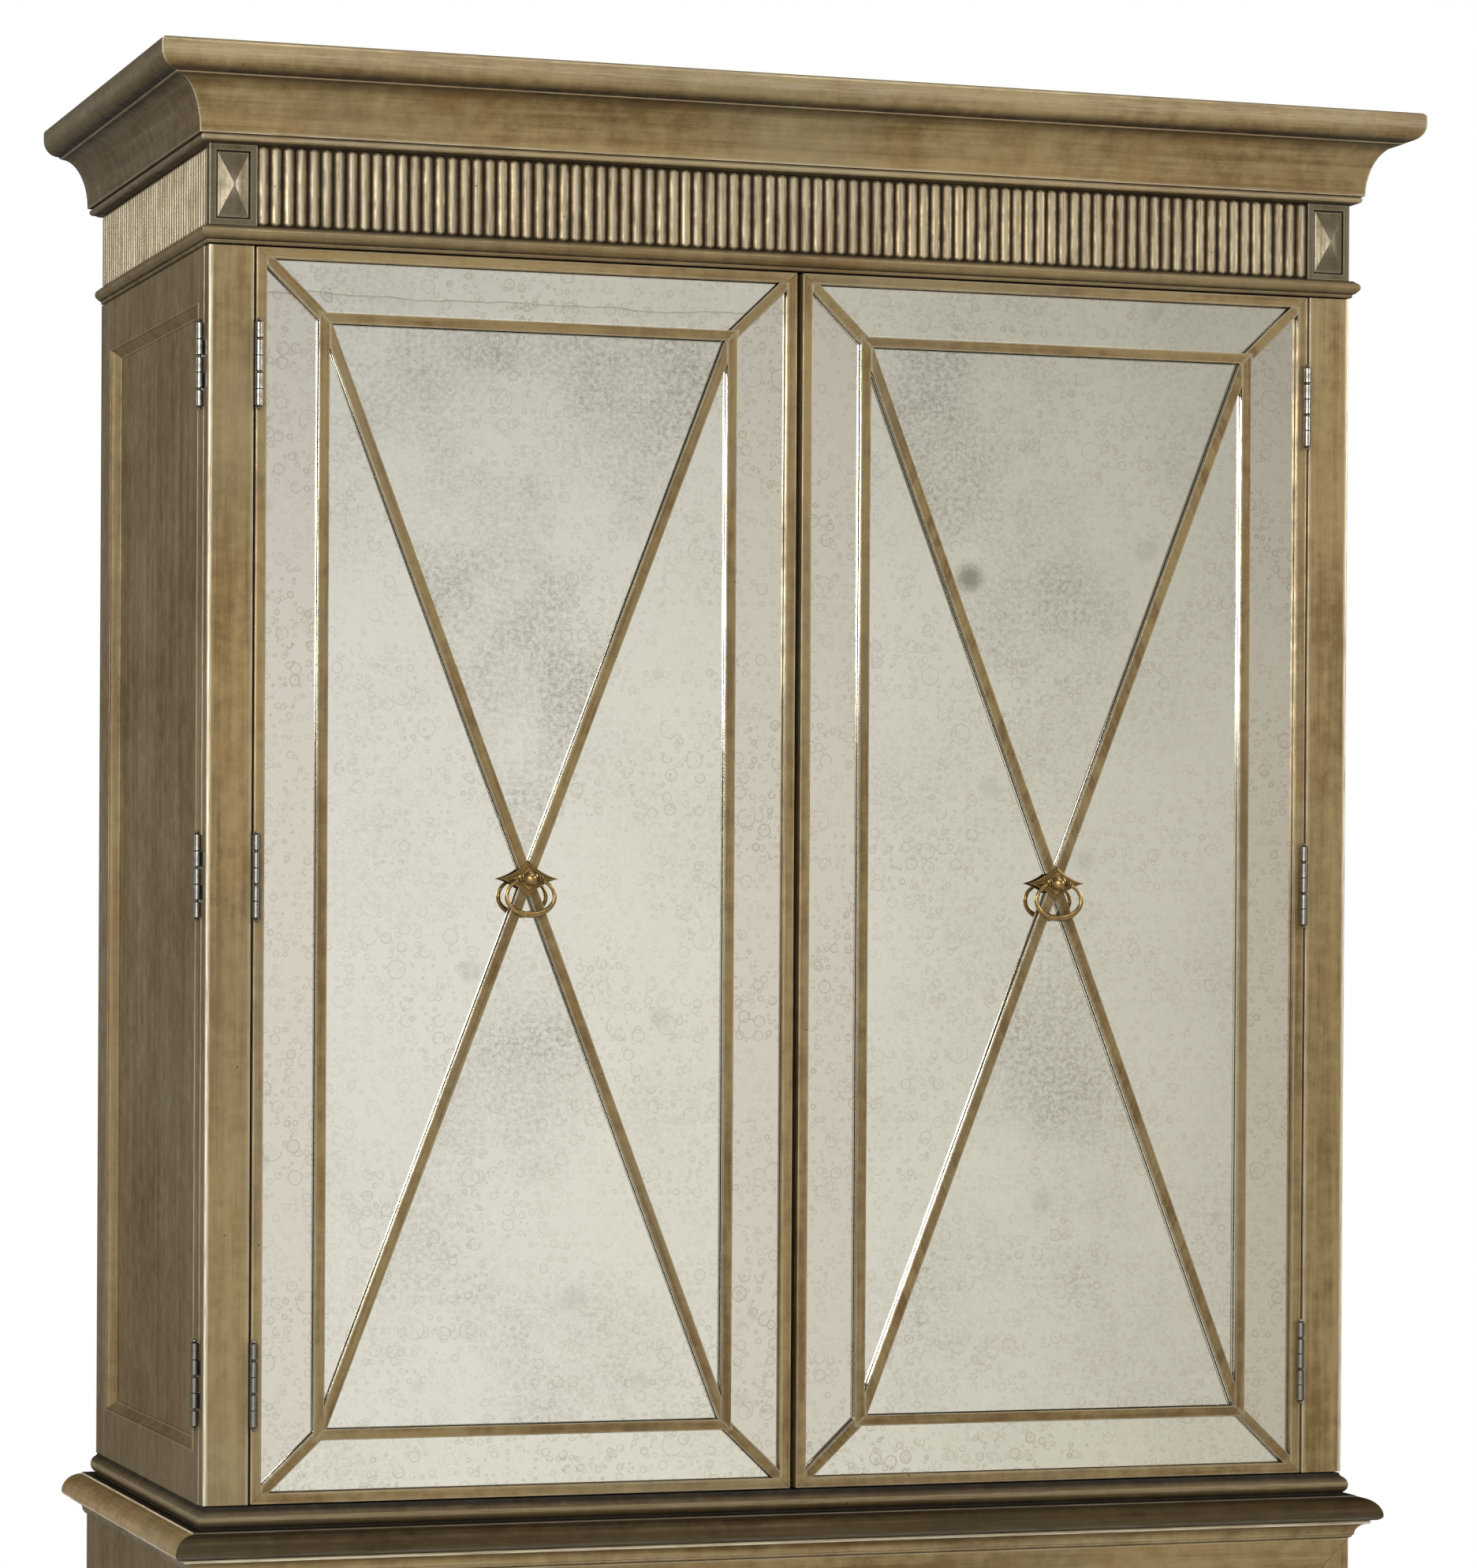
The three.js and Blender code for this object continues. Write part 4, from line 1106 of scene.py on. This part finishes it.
class ARMOIRE_OT_case_sides(bpy.types.Operator):
    """Builds the panelled sides of the upper cabinet and of the lower case"""

    bl_idname = "armoire.case_sides"
    bl_label = "Case sides"

    def execute(self, context):
        sizes = context.scene.armoire_sizes
        upper_rails = (DOOR_LOW[2] + 46 * MM, DOOR_LOW[2] + 1.097)
        lower_rails = (LOWER_LOW[2] + 50 * MM, COVE_BOTTOM - 50 * MM)
        upper = (FRONT + 44 * MM, FRONT + 453 * MM, *upper_rails)
        lower = (FACE_LOW[1] + 60 * MM, BACK - 45 * MM, *lower_rails)
        for name, box, opening, split in (
            ("upper", (SIDE_LOW, SIDE_HIGH), upper, FRONT + 462 * MM),
            ("lower", (LOWER_LOW, LOWER_HIGH), lower, BACK - 45 * MM),
        ):
            shells = Shell(), Shell(), Shell()
            panel_frame(*shells, box, opening, split, sizes.panel_deep, sizes.panel_slope)
            nodes = [f"{name}_side_{{side}}"]
            for shell, part in zip(shells, ("frame", "moulding", "panel")):
                build_pair(shell, f"{name}_side_{part}", "case", "leaf_side", nodes)
                nodes = []
        return {"FINISHED"}


class ARMOIRE_OT_fold_stiles(bpy.types.Operator):
    """Builds the folding corner stiles, their outer arris bright: rubbed through, and a painted
    highlight
    """

    bl_idname = "armoire.fold_stiles"
    bl_label = "Folding stiles"

    def execute(self, context):
        stile, nodes = Shell(), ["fold_stile_{side}"]
        plank(stile, STILE_LOW, STILE_HIGH, 2, 1, 1.1 * MM, 0.3, outer=1.0)
        build_pair(stile, "corner_stile", "stile_{side}", "leaf_upright", nodes)
        return {"FINISHED"}


def mitred_frame(shell, low, high, width, radius, worn):
    """Four boards mitred round the box low to high, with a hair's breadth between their ends."""
    section = rounded_section(width, high[1] - low[1], radius, worn)
    hair, face = 0.22 * MM, low[1]
    (x0, z0), (x1, z1) = low[[0, 2]], high[[0, 2]]
    corners = np.array([(x0, z0), (x1, z0), (x1, z1), (x0, z1)])
    for k in range(4):
        start, end = corners[k], corners[(k + 1) % 4]
        along, inward = way_between(start, end)
        a, b = start + along * hair, end - along * hair
        turn = 0 if k % 2 else math.pi / 2
        ends = (a[0], face, a[1]), (b[0], face, b[1])
        run(shell, section, *ends, (inward[0], 0, inward[1]), -Y, 1.0, turn=turn)
    return shell


class ARMOIRE_OT_lower_front(bpy.types.Operator):
    """Builds the mitred face frame of the lower case and the two drawer fronts"""

    bl_idname = "armoire.lower_front"
    bl_label = "Lower front"

    def execute(self, context):
        sizes = context.scene.armoire_sizes
        x, y0, y1 = FACE_HIGH[0], FACE_LOW[1], FACE_HIGH[1]
        z0, z1 = FACE_LOW[2], COVE_BOTTOM
        rail = 45 * MM
        shell = Shell()
        frame_low, frame_high = np.array([-x, y0, z0]), np.array([x, y1, z1])
        mitred_frame(shell, frame_low, frame_high, rail, 0.5 * MM, 0.3)
        plank(shell, (-x, y0, z1), (x, y1, FACE_HIGH[2]), 0, 1)
        low, high = span("drawer_front_lower")[1][2], span("drawer_front_upper")[0][2]
        gap = 2 * MM
        inner = x - rail
        plank(shell, (-inner, y0, low + gap), (inner, y1, high - gap), 0, 1, 0.5 * MM, 0.3)
        shell.build("lower_face_frame", "case", "leaf_upright", ["face_frame"])
        for level in ("lower", "upper"):
            low, high = span(f"drawer_front_{level}")
            shell = mitred_frame(Shell(), low, high, sizes.rim, 0.5 * MM, 0.4)
            edge = sizes.rim - 0.2 * MM
            field_low = (low[0] + edge, low[1] + 3 * MM, low[2] + edge)
            plank(shell, field_low, (high[0] - edge, high[1], high[2] - edge), 0, 1, 0.3 * MM, -0.5)
            name, nodes = f"drawer_face_{level}", [f"drawer_front_{level}"]
            shell.build(name, f"drawer_{level}", "leaf_upright", nodes)
        return {"FINISHED"}


# ---- doors ---------------------------------------------------------------------------------
class DoorPlan:
    """Lines of the left door in its own plane (x, z): the opening inside the rim, the inner
    rectangle of bars, and the diagonals of its middle."""

    def __init__(self, sizes):
        self.low = DOOR_LOW[[0, 2]] + sizes.rim
        self.high = DOOR_HIGH[[0, 2]] - sizes.rim
        border = np.array([sizes.border_side, sizes.border_end])
        self.half = sizes.bar_width / 2
        self.outer_low = self.low + border
        self.outer_high = self.high - border
        self.inner_low = self.outer_low + sizes.bar_width
        self.inner_high = self.outer_high - sizes.bar_width
        self.line_low = self.outer_low + self.half
        self.line_high = self.outer_high - self.half

    def corners(self, low, high):
        return np.array([low, (high[0], low[1]), high, (low[0], high[1])])

    def strip(self, a, b):
        """The rectangle of a bar's width along the line from a to b, and the way to its left."""
        side = way_between(a, b)[1] * self.half
        return np.array([a - side, b - side, b + side, a + side]), side / self.half

    def inside(self, outline, low, high):
        """The part of a polygon inside a rectangle."""
        for corner, normal in ((low, (-1, 0)), (low, (0, -1)), (high, (1, 0)), (high, (0, 1))):
            outline = clip(outline, corner, np.array(normal, float))
        return outline

    def bars(self):
        """Outlines of the bars: a mitred rectangle, four bars to the rim's corners, and a cross
        whose second diagonal is cut where it meets the first."""
        outer = self.corners(self.outer_low, self.outer_high)
        inner = self.corners(self.inner_low, self.inner_high)
        made = [
            np.array([outer[k], outer[(k + 1) % 4], inner[(k + 1) % 4], inner[k]]) for k in range(4)
        ]
        rim = self.corners(self.low, self.high)
        line = self.corners(self.line_low, self.line_high)
        level, upright = np.array([1.0, 0.0]), np.array([0.0, 1.0])
        for k in range(4):
            along, side = way_between(line[k], rim[k])
            side = side * self.half
            flanks = [line[k] + side, line[k] - side]
            up_first = abs(side[0] * along[1]) > 0 and (side[0] * (outer[k] - self.mid())[0]) < 0
            ends = (level, upright) if up_first else (upright, level)
            (a_in, a_out), (b_in, b_out) = (
                [cross_point(flank, along, corner, way) for corner in (outer[k], rim[k])]
                for flank, way in zip(flanks, ends)
            )
            made.append(np.array([a_in, a_out, rim[k], b_out, b_in, outer[k]]))
        first, side = self.strip(line[0], line[2])
        made.append(self.inside(first, self.inner_low, self.inner_high))
        second, _ = self.strip(line[1], line[3])
        for sign in (1, -1):
            part = clip(second, line[0] + side * self.half * sign, -side * sign)
            made.append(self.inside(part, self.inner_low, self.inner_high))
        return made

    def mid(self):
        return (self.low + self.high) / 2

    def panes(self):
        """Outlines of the panes with their kinds: four trapezoids round four triangles."""
        rim = self.corners(self.low, self.high)
        outer = self.corners(self.outer_low, self.outer_high)
        line = self.corners(self.line_low, self.line_high)
        borders = []
        for k in range(4):
            n = (k + 1) % 4
            shape = np.array([rim[k], rim[n], outer[n], outer[k]])
            for corner, other in ((k, n), (n, k)):
                normal = way_between(line[corner], rim[corner])[1]
                normal *= np.sign((line[corner] - line[other]) @ normal)
                shape = clip(shape, line[corner] - normal * self.half, normal)
            borders.append(shape)
        fields = []
        whole = self.corners(self.inner_low, self.inner_high)
        middle = self.mid()
        for k in range(4):
            n = (k + 1) % 4
            shape = whole
            for a, b in ((line[0], line[2]), (line[1], line[3])):
                normal = way_between(a, b)[1]
                normal *= -np.sign(((whole[k] + whole[n]) / 2 - middle) @ normal)
                shape = clip(shape, middle - normal * self.half, normal)
            fields.append(shape)
        return borders, fields


class ARMOIRE_OT_doors(bpy.types.Operator):
    """Builds the doors: mitred rims, backs, glazing bars and eight mirror panes each"""

    bl_idname = "armoire.doors"
    bl_label = "Doors"

    def execute(self, context):
        sizes = context.scene.armoire_sizes
        plan = DoorPlan(sizes)
        x0, x1, z0, z1 = DOOR_LOW[0], DOOR_HIGH[0], DOOR_LOW[2], DOOR_HIGH[2]
        y0, y1 = DOOR_LOW[1], DOOR_HIGH[1]
        rim = mitred_frame(Shell(), DOOR_LOW, DOOR_HIGH, sizes.rim, 0.6 * MM, 0.2)
        build_pair(rim, "door_rim", "door_{side}", "leaf_rim", ["door_frame_{side}"])
        back = Shell()
        seat = MIRROR_HIGH[1] + 0.25 * MM
        stile = 62 * MM
        edge = sizes.rim - 0.1 * MM
        a0, a1, c0, c1 = x0 + edge, x1 - edge, z0 + edge, z1 - edge
        plank(back, (a0, seat, c0), (x0 + stile, y1, c1), 2, 1, 0.4 * MM)
        plank(back, (x1 - stile, seat, c0), (a1, y1, c1), 2, 1, 0.4 * MM)
        plank(back, (x0 + stile, seat, c0), (x1 - stile, y1, z0 + stile), 0, 1, 0.4 * MM)
        plank(back, (x0 + stile, seat, z1 - stile), (x1 - stile, y1, c1), 0, 1, 0.4 * MM)
        plank(back, (x0 + stile, seat, z0 + stile), (x1 - stile, y1 - 3 * MM, z1 - stile), 2, 1)
        build_pair(back, "door_back", "door_{side}", "leaf_side")

        bars = Shell()
        for outline in plan.bars():
            sides = np.roll(outline, -1, 0) - outline
            long = sides[np.argmax(np.linalg.norm(sides, axis=1))]
            turn, depths = -math.atan2(long[0], long[1]), (MIRROR_LOW[1] - 0.1 * MM, y0)
            slab(bars, outline, *depths, sizes.bar_round, 0.35, sizes.bar_dull, turn=turn)
        nodes = ["door_lattice_{side}"]
        build_pair(bars, "glazing_bars", "door_{side}", "glazing_bar", nodes, crease=18)

        borders, fields = plan.panes()
        names = ("foot", "right", "head", "left")
        clouds = {"foot": 0.75, "right": 0.3, "head": 1.0, "left": 0.3}
        node = "door_mirror_{side}"
        for side, turn in (("left", 1), ("right", -1)):
            replaced = [node.format(side=side)]
            for k, name in enumerate(names):
                upright = name in ("left", "right")
                for kind, outline in (("border", borders[k]), ("field", fields[k])):
                    field = kind == "field"
                    shape = inset(counter_clockwise(outline), sizes.pane_gap) * [turn, 1]
                    marks = {
                        "pane": 1.0 + k + (4 if field else 0) + (8 if turn < 0 else 0),
                        "tide": float(not field and turn > 0 and name in ("head", "left")),
                        "smudge": float(field and turn < 0 and name == "head"),
                        "cloud": clouds[name] * (1.0 if field else 0.6),
                    }
                    depths = MIRROR_HIGH[1], MIRROR_LOW[1]
                    pane = slab(Shell(), shape, *depths, sizes.pane_edge, **marks)
                    finish = "mirror_upright" if upright else "mirror_end"
                    finish = "mirror_field" if field else finish
                    label = f"{kind}_pane_{name}_{side}"
                    pane.build(label, f"door_{side}", finish, replaced, crease=18)
                    replaced = []
        return {"FINISHED"}


# ---- pulls and hinges ----------------------------------------------------------------------
def hollow_diamond(half_wide, half_high, hollow, steps=9):
    """A diamond whose four sides bow inwards: along each side, with t from 0 to 1, the straight
    line moved towards the middle by hollow 4 t (1 - t)."""
    tips = np.array([(half_wide, 0), (0, half_high), (-half_wide, 0), (0, -half_high)], float)
    t = np.arange(steps)[:, None] / steps
    sides = []
    for a, b in zip(tips, np.roll(tips, -1, 0)):
        inward = -np.sign(a + b) * [0.5, 1.0]
        sides.append(a + (b - a) * t + inward * hollow * 4 * t * (1 - t))
    return np.concatenate(sides)


def pull_plate(shell, x, face, z):
    """The stepped diamond plate and, across its middle, a turned ball between two collars."""
    steps = [
        (28.7, 16.8, 2.4, 0.0, -0.3),
        (28.7, 16.8, 2.4, 0.9, 0.1),
        (28.2, 16.4, 2.4, 1.4, 0.5),
        (26.0, 15.0, 2.3, 1.6, 0.1),
        (25.4, 14.6, 2.3, 1.2, -0.6),
        (24.7, 14.2, 2.2, 1.2, -0.6),
        (24.2, 13.9, 2.2, 1.9, 0.4),
        (21.8, 12.5, 2.0, 2.0, 0.1),
        (21.2, 12.1, 2.0, 1.6, -0.6),
        (20.6, 11.8, 1.9, 1.7, -0.5),
        (19.6, 11.2, 1.8, 2.5, 0.3),
        (12.0, 7.0, 1.0, 2.9, 0.0),
    ]
    loops = []
    for wide, high, hollow, out, _ in steps:
        flat = hollow_diamond(wide * MM, high * MM, hollow * MM)
        level = np.full(len(flat), face - out * MM)
        loops.append(np.stack([x + flat[:, 0], level, z + flat[:, 1]], 1))
    shell.loft(loops, np.array(steps)[:, 4, None])
    neck = [(3.9, 8.6, 0.3), (3.9, 7.7, 0.2), (3.0, 7.2, -0.7), (3.3, 6.9, -0.4)]
    ball = [(7.2 * math.sin(a), 7.2 * math.cos(a), 0.15) for a in np.radians([33, 43, 54, 66, 78])]
    collar = [
        (0.3, 11.4, -0.3),
        (2.6, 11.3, 0.0),
        (3.5, 10.7, 0.4),
        (3.6, 9.9, 0.2),
        (2.5, 9.3, -0.8),
        (2.6, 8.9, -0.6),
    ]
    side = collar + neck + ball
    rows = side + [(7.2, 0.0, 0.2)] + [(r, -a, v) for r, a, v in side[::-1]]
    return lathe(shell, np.array(rows) * [MM, MM, 1], (x, face - 7.75 * MM, z), X, 28)


def pull_ring(shell, x, face, z):
    """The ring: a round wire along an oval whose ends enter the collars. Its radius grows towards
    the foot, where a plain band lies between two cut lines."""
    wide, high, wire, segments = 22.9, 17, 1.8, 18
    a = np.radians(122 + 296 * np.linspace(0, 1, 97))
    cosine, sine, flat = np.cos(a), np.sin(a), np.zeros_like(a)
    down = (1 - sine) / 2
    off = np.degrees(np.abs(a - 1.5 * math.pi))
    cut = np.exp(-(((off - 15.0) / 1.6) ** 2))
    radius = wire + 1.15 * down**3 - 0.2 * cut
    centre = np.stack([wide * cosine, flat, high * (sine - 0.96)], 1)
    normal = np.stack([high * cosine, flat, wide * sine], 1)
    normal /= np.linalg.norm(normal, axis=1)[:, None]
    b = np.linspace(0, 2 * math.pi, segments, endpoint=False)
    ring = normal[:, None] * np.cos(b)[None, :, None] + Y * np.sin(b)[None, :, None]
    rows = (centre[:, None] + ring * radius[:, None, None]) * MM + [x, face - 8 * MM, z]
    return shell.loft(rows, (0.12 + 0.7 * cut)[:, None])


class ARMOIRE_OT_pulls(bpy.types.Operator):
    """Builds the ring pulls of the doors and drawers"""

    bl_idname = "armoire.pulls"
    bl_label = "Ring pulls"

    def execute(self, context):
        proud = 0.25 * MM
        places = [(DOOR_MID[0], DOOR_MID[2], FRONT, "")]
        for level in ("lower", "upper"):
            low, high = span(f"drawer_pull_{level}_left")
            middle = (low + high) / 2
            places.append((middle[0], middle[2], high[1] + proud, level))
        for x, z, face, level in places:
            if level:
                names = f"drawer_plate_{level}", f"drawer_pull_ring_{level}"
                bodies = f"drawer_{level}", f"drawer_ring_{level}_{{side}}"
                nodes = f"drawer_pull_{level}_{{side}}", bodies[1]
            else:
                names = "pull_plate", "pull_ring"
                bodies = "door_{side}", "door_ring_{side}"
                nodes = "door_pull_{side}", bodies[1]
            made = pull_plate(Shell(), x, face - proud, z), pull_ring(Shell(), x, face, z)
            for shell, name, body, node in zip(made, names, bodies, nodes):
                build_pair(shell, name, body, "brass", [node])
        return {"FINISHED"}


def barrel_rows(wide_gaps, gap):
    """Radius, height and relief down one hinge barrel: ball tips, collars and five knuckles,
    with an open gap after the knuckles named and a fine line after the others."""
    half, radius = 38.0, 3.6
    cut = (2 * half) / 5
    rows = [
        (0.2, half + 3.6, 0.2),
        (1.1, half + 3.4, 0.3),
        (1.9, half + 2.7, 0.3),
        (2.1, half + 1.9, 0.2),
        (1.8, half + 1.1, -0.2),
        (1.3, half + 0.7, -0.8),
        (2.6, half + 0.4, 0.3),
        (2.9, half + 0.1, 0.2),
    ]
    for k in range(5):
        top, foot = half - k * cut, half - (k + 1) * cut
        above = gap / 2 / MM if k - 1 in wide_gaps else 0.12
        below = gap / 2 / MM if k in wide_gaps else 0.12
        above = 0.1 if k == 0 else above
        below = 0.1 if k == 4 else below
        if k:
            rows.append((1.5, top - above + 0.05, -1.0))
        rows += [
            (radius - 0.45, top - above, -0.3),
            (radius, top - above - 0.45, 0.3),
            (radius, (top + foot) / 2, 0.0),
            (radius, foot + below + 0.45, 0.3),
            (radius - 0.45, foot + below, -0.3),
        ]
        if k < 4:
            rows.append((1.5, foot + below - 0.05, -1.0))
    tip = [(r, -h, v) for r, h, v in rows[:8][::-1]]
    return np.array(rows + tip) * [MM, MM, 1]


class ARMOIRE_OT_hinges(bpy.types.Operator):
    """Builds the twelve butt hinges and the leaf tabs that show on the stiles"""

    bl_idname = "armoire.hinges"
    bl_label = "Hinges"

    def execute(self, context):
        gap = context.scene.armoire_sizes.knuckle_gap
        radius, half_leaf, reach, tab_step = 3.6 * MM, 0.5 * MM, 37 * MM, 15.2 * MM
        kinds = (("case", (1, 3), "case", 1), ("door", (0, 2), "stile_{side}", 0))
        tabs = Shell()
        for level in ("low", "mid", "high"):
            for kind, wide_gaps, body, show_side in kinds:
                low, high = span(f"{kind}_hinge_{level}_left")
                height = (low[2] + high[2]) / 2
                if kind == "case":
                    x, y = low[0] + radius, (low[1] + high[1]) / 2
                    leaf = (x, y - half_leaf), (high[0], y + half_leaf)
                else:
                    x, y = high[0] - radius, low[1] + radius
                    middle = DOOR_LOW[0] - MM
                    leaf = (middle - half_leaf, y), (middle + half_leaf, high[1])
                hinge = lathe(Shell(), barrel_rows(wide_gaps, gap), (x, y, height), Z)
                corners = (*leaf[0], height - reach), (*leaf[1], height + reach)
                plank(hinge, *corners, 2, show_side, 0.1 * MM, 0.1)
                name, nodes = f"{kind}_butt_hinge_{level}", [f"{kind}_hinge_{level}_{{side}}"]
                build_pair(hinge, name, body, "pewter", nodes)
                for z in (height + tab_step, height - tab_step) if kind == "case" else ():
                    low_tab = (STILE_LOW[0] - 0.45 * MM, STILE_HIGH[1] - 11 * MM, z - 7 * MM)
                    high_tab = (STILE_LOW[0] + 0.3 * MM, STILE_HIGH[1] - 0.4 * MM, z + 7 * MM)
                    plank(tabs, low_tab, high_tab, 2, 0, 0.12 * MM, 0.3)
        build_pair(tabs, "hinge_tabs", "stile_{side}", "pewter")
        return {"FINISHED"}


class ARMOIRE_OT_plain_boards(bpy.types.Operator):
    """Gives the carried-over boards inside and behind the armoire their stained finish"""

    bl_idname = "armoire.plain_boards"
    bl_label = "Plain boards"

    def execute(self, context):
        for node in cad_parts.values():
            if node.hide_render:
                continue
            node.data.materials.clear()
            node.data.materials.append(material("stained_board"))
        return {"FINISHED"}


# ---- studio --------------------------------------------------------------------------------
def studio_world():
    """White to the camera. To everything else a soft room, by direction (x, y, z): brightness
    rises towards the front, and falls towards the right, the ceiling, the ground and one small
    dark place; to the right the light is warmer."""
    world = bpy.data.worlds.new("soft_room")
    bpy.context.scene.world = world
    world.use_nodes = True
    tree = world.node_tree
    tree.nodes.clear()
    w = Wiring(tree)
    way = w.add("ShaderNodeTexCoord").outputs["Generated"]
    x, y, z = w.add("ShaderNodeSeparateXYZ", {0: way}).outputs
    front = w.ramp(y, 0.35, -0.85, 0.3, 1.0)
    right = w.ramp(x, 0.26, 0.64, 1.02, 0.18)
    high = w.ramp(z, 0.0, 0.3, 1.0, 0.36)
    low = w.ramp(z, -0.24, -0.1, 0.8, 1.0)
    off = w.distance(w.vector(x, 0.0, w.times(z, 1.5)), DARK_PLACE)
    dark = w.ramp(off, 0.12, 0.25, 0.3, 1.0)
    level = w.times(w.times(front, right), w.times(high, low))
    level = w.times(w.times(level, dark), 0.97)
    tint = w.blend(w.ramp(x, 0.2, 0.5), (1.0, 0.988, 0.96, 1), (1.0, 0.95, 0.84, 1))
    room = w.add("ShaderNodeBackground", {"Color": tint, "Strength": level})
    paper = w.add("ShaderNodeBackground", {"Color": (1, 1, 1, 1), "Strength": 1.0})
    path = w.add("ShaderNodeLightPath").outputs["Is Camera Ray"]
    mixed = w.add("ShaderNodeMixShader", {0: path, 1: room.outputs[0], 2: paper.outputs[0]})
    leave = w.add("ShaderNodeOutputWorld")
    tree.links.new(mixed.outputs[0], leave.inputs["Surface"])


# Name, place, target, width, height in metres, and power in watts.
SOFT_BOXES = (
    ("box_behind_camera", (-2.6, -7.0, 2.45), (0, 0, 1.6), 1.5, 1.1, 200),
    ("box_left", (-3.6, -4.6, 3.0), (0, 0, 1.5), 1.6, 1.5, 150),
    ("box_right", (4.6, -3.6, 3.1), (0.3, 0, 1.8), 1.4, 1.8, 165),
    ("box_far_left", (-4.2, 0.8, 2.4), (0, 0, 1.3), 1.2, 2.0, 30),
    ("box_top", (0.4, -1.6, 4.4), (0, 0, 1.6), 2.4, 1.4, 40),
)


def soft_box(name, place, target, wide, high, power):
    """A rectangular light at a place, turned to face a target."""
    data = bpy.data.lights.new(name, "AREA")
    data.shape = "RECTANGLE"
    data.size, data.size_y, data.energy = wide, high, power
    light = bpy.data.objects.new(name, data)
    light.location = place
    light.rotation_euler = (Vector(target) - Vector(place)).to_track_quat("-Z", "Y").to_euler()
    bpy.context.scene.collection.objects.link(light)


def studio_floor():
    """A pale round floor, and its procedural finish: a faint mottle over matt white."""
    inner, outer, top, foot = 0.02, 5.4, -0.004, -0.03
    rows = [(inner, top), (outer, top), (outer, foot), (inner, foot)]
    shell = lathe(Shell(), rows, (0, -1.2, 0), Z, 96)
    mesh = bpy.data.meshes.new("floor")
    mesh.from_pydata(np.concatenate(shell.points).tolist(), [], shell.faces)
    made = bpy.data.materials.new("pale_floor")
    surface = principled(made)
    w = Wiring(made.node_tree)
    place = w.add("ShaderNodeTexCoord").outputs["Object"]
    shade = w.blend(w.noise(place, 3.0, 4.0), (0.80, 0.795, 0.78, 1), (0.84, 0.835, 0.82, 1))
    made.node_tree.links.new(shade, surface.inputs["Base Color"])
    surface.inputs["Roughness"].default_value = 0.75
    mesh.materials.append(made)
    floor = bpy.data.objects.new("floor", mesh)
    bpy.context.scene.collection.objects.link(floor)


def studio_camera():
    """A long lens just left of the middle, level with the doors, its frame raised by a shift."""
    yaw, pitch, roll = (math.radians(a) for a in (18.287, -0.517, 0.346))
    data = bpy.data.cameras.new("camera")
    data.lens = 115.94
    data.shift_y = 0.12
    data.clip_start, data.clip_end = 0.1, 60.0
    camera = bpy.data.objects.new("camera", data)
    turn = Matrix.Rotation(-yaw, 4, "Z") @ Matrix.Rotation(math.pi / 2 + pitch, 4, "X")
    place = Matrix.Translation((-1.5447, -4.7331, 1.3414))
    camera.matrix_world = place @ turn @ Matrix.Rotation(roll, 4, "Z")
    bpy.context.scene.collection.objects.link(camera)
    bpy.context.scene.camera = camera


class ARMOIRE_OT_studio(bpy.types.Operator):
    """Builds the stage: floor, room light, soft boxes and camera"""

    bl_idname = "armoire.studio"
    bl_label = "Studio"

    def execute(self, context):
        context.scene.view_settings.view_transform = "Standard"
        studio_world()
        studio_floor()
        for box in SOFT_BOXES:
            soft_box(*box)
        studio_camera()
        return {"FINISHED"}


class ARMOIRE_PT_pieces(bpy.types.Panel):
    """Lists the armoire's pieces, sizes and colours"""

    bl_idname = "ARMOIRE_PT_pieces"
    bl_label = "Armoire"
    bl_space_type = "VIEW_3D"
    bl_region_type = "UI"
    bl_category = "Armoire"

    def draw(self, context):
        for made in PIECES:
            self.layout.operator(made.bl_idname)
        for group in (context.scene.armoire_sizes, context.scene.armoire_colours):
            box = self.layout.box()
            for name in group.__annotations__:
                box.prop(group, name)


PIECES = (
    ARMOIRE_OT_cornice,
    ARMOIRE_OT_frieze,
    ARMOIRE_OT_mouldings,
    ARMOIRE_OT_case_sides,
    ARMOIRE_OT_fold_stiles,
    ARMOIRE_OT_lower_front,
    ARMOIRE_OT_doors,
    ARMOIRE_OT_pulls,
    ARMOIRE_OT_hinges,
    ARMOIRE_OT_plain_boards,
    ARMOIRE_OT_studio,
)
CLASSES = (ArmoireSizes, ArmoireColours, *PIECES, ARMOIRE_PT_pieces)


def register():
    for made in CLASSES:
        bpy.utils.register_class(made)
    bpy.types.Scene.armoire_sizes = bpy.props.PointerProperty(type=ArmoireSizes)
    bpy.types.Scene.armoire_colours = bpy.props.PointerProperty(type=ArmoireColours)


def unregister():
    del bpy.types.Scene.armoire_colours
    del bpy.types.Scene.armoire_sizes
    for made in reversed(CLASSES):
        bpy.utils.unregister_class(made)


def main():
    """Registers the add-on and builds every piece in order."""
    register()
    for made in PIECES:
        group, name = made.bl_idname.split(".")
        getattr(getattr(bpy.ops, group), name)()


if __name__ == "__main__":
    main()
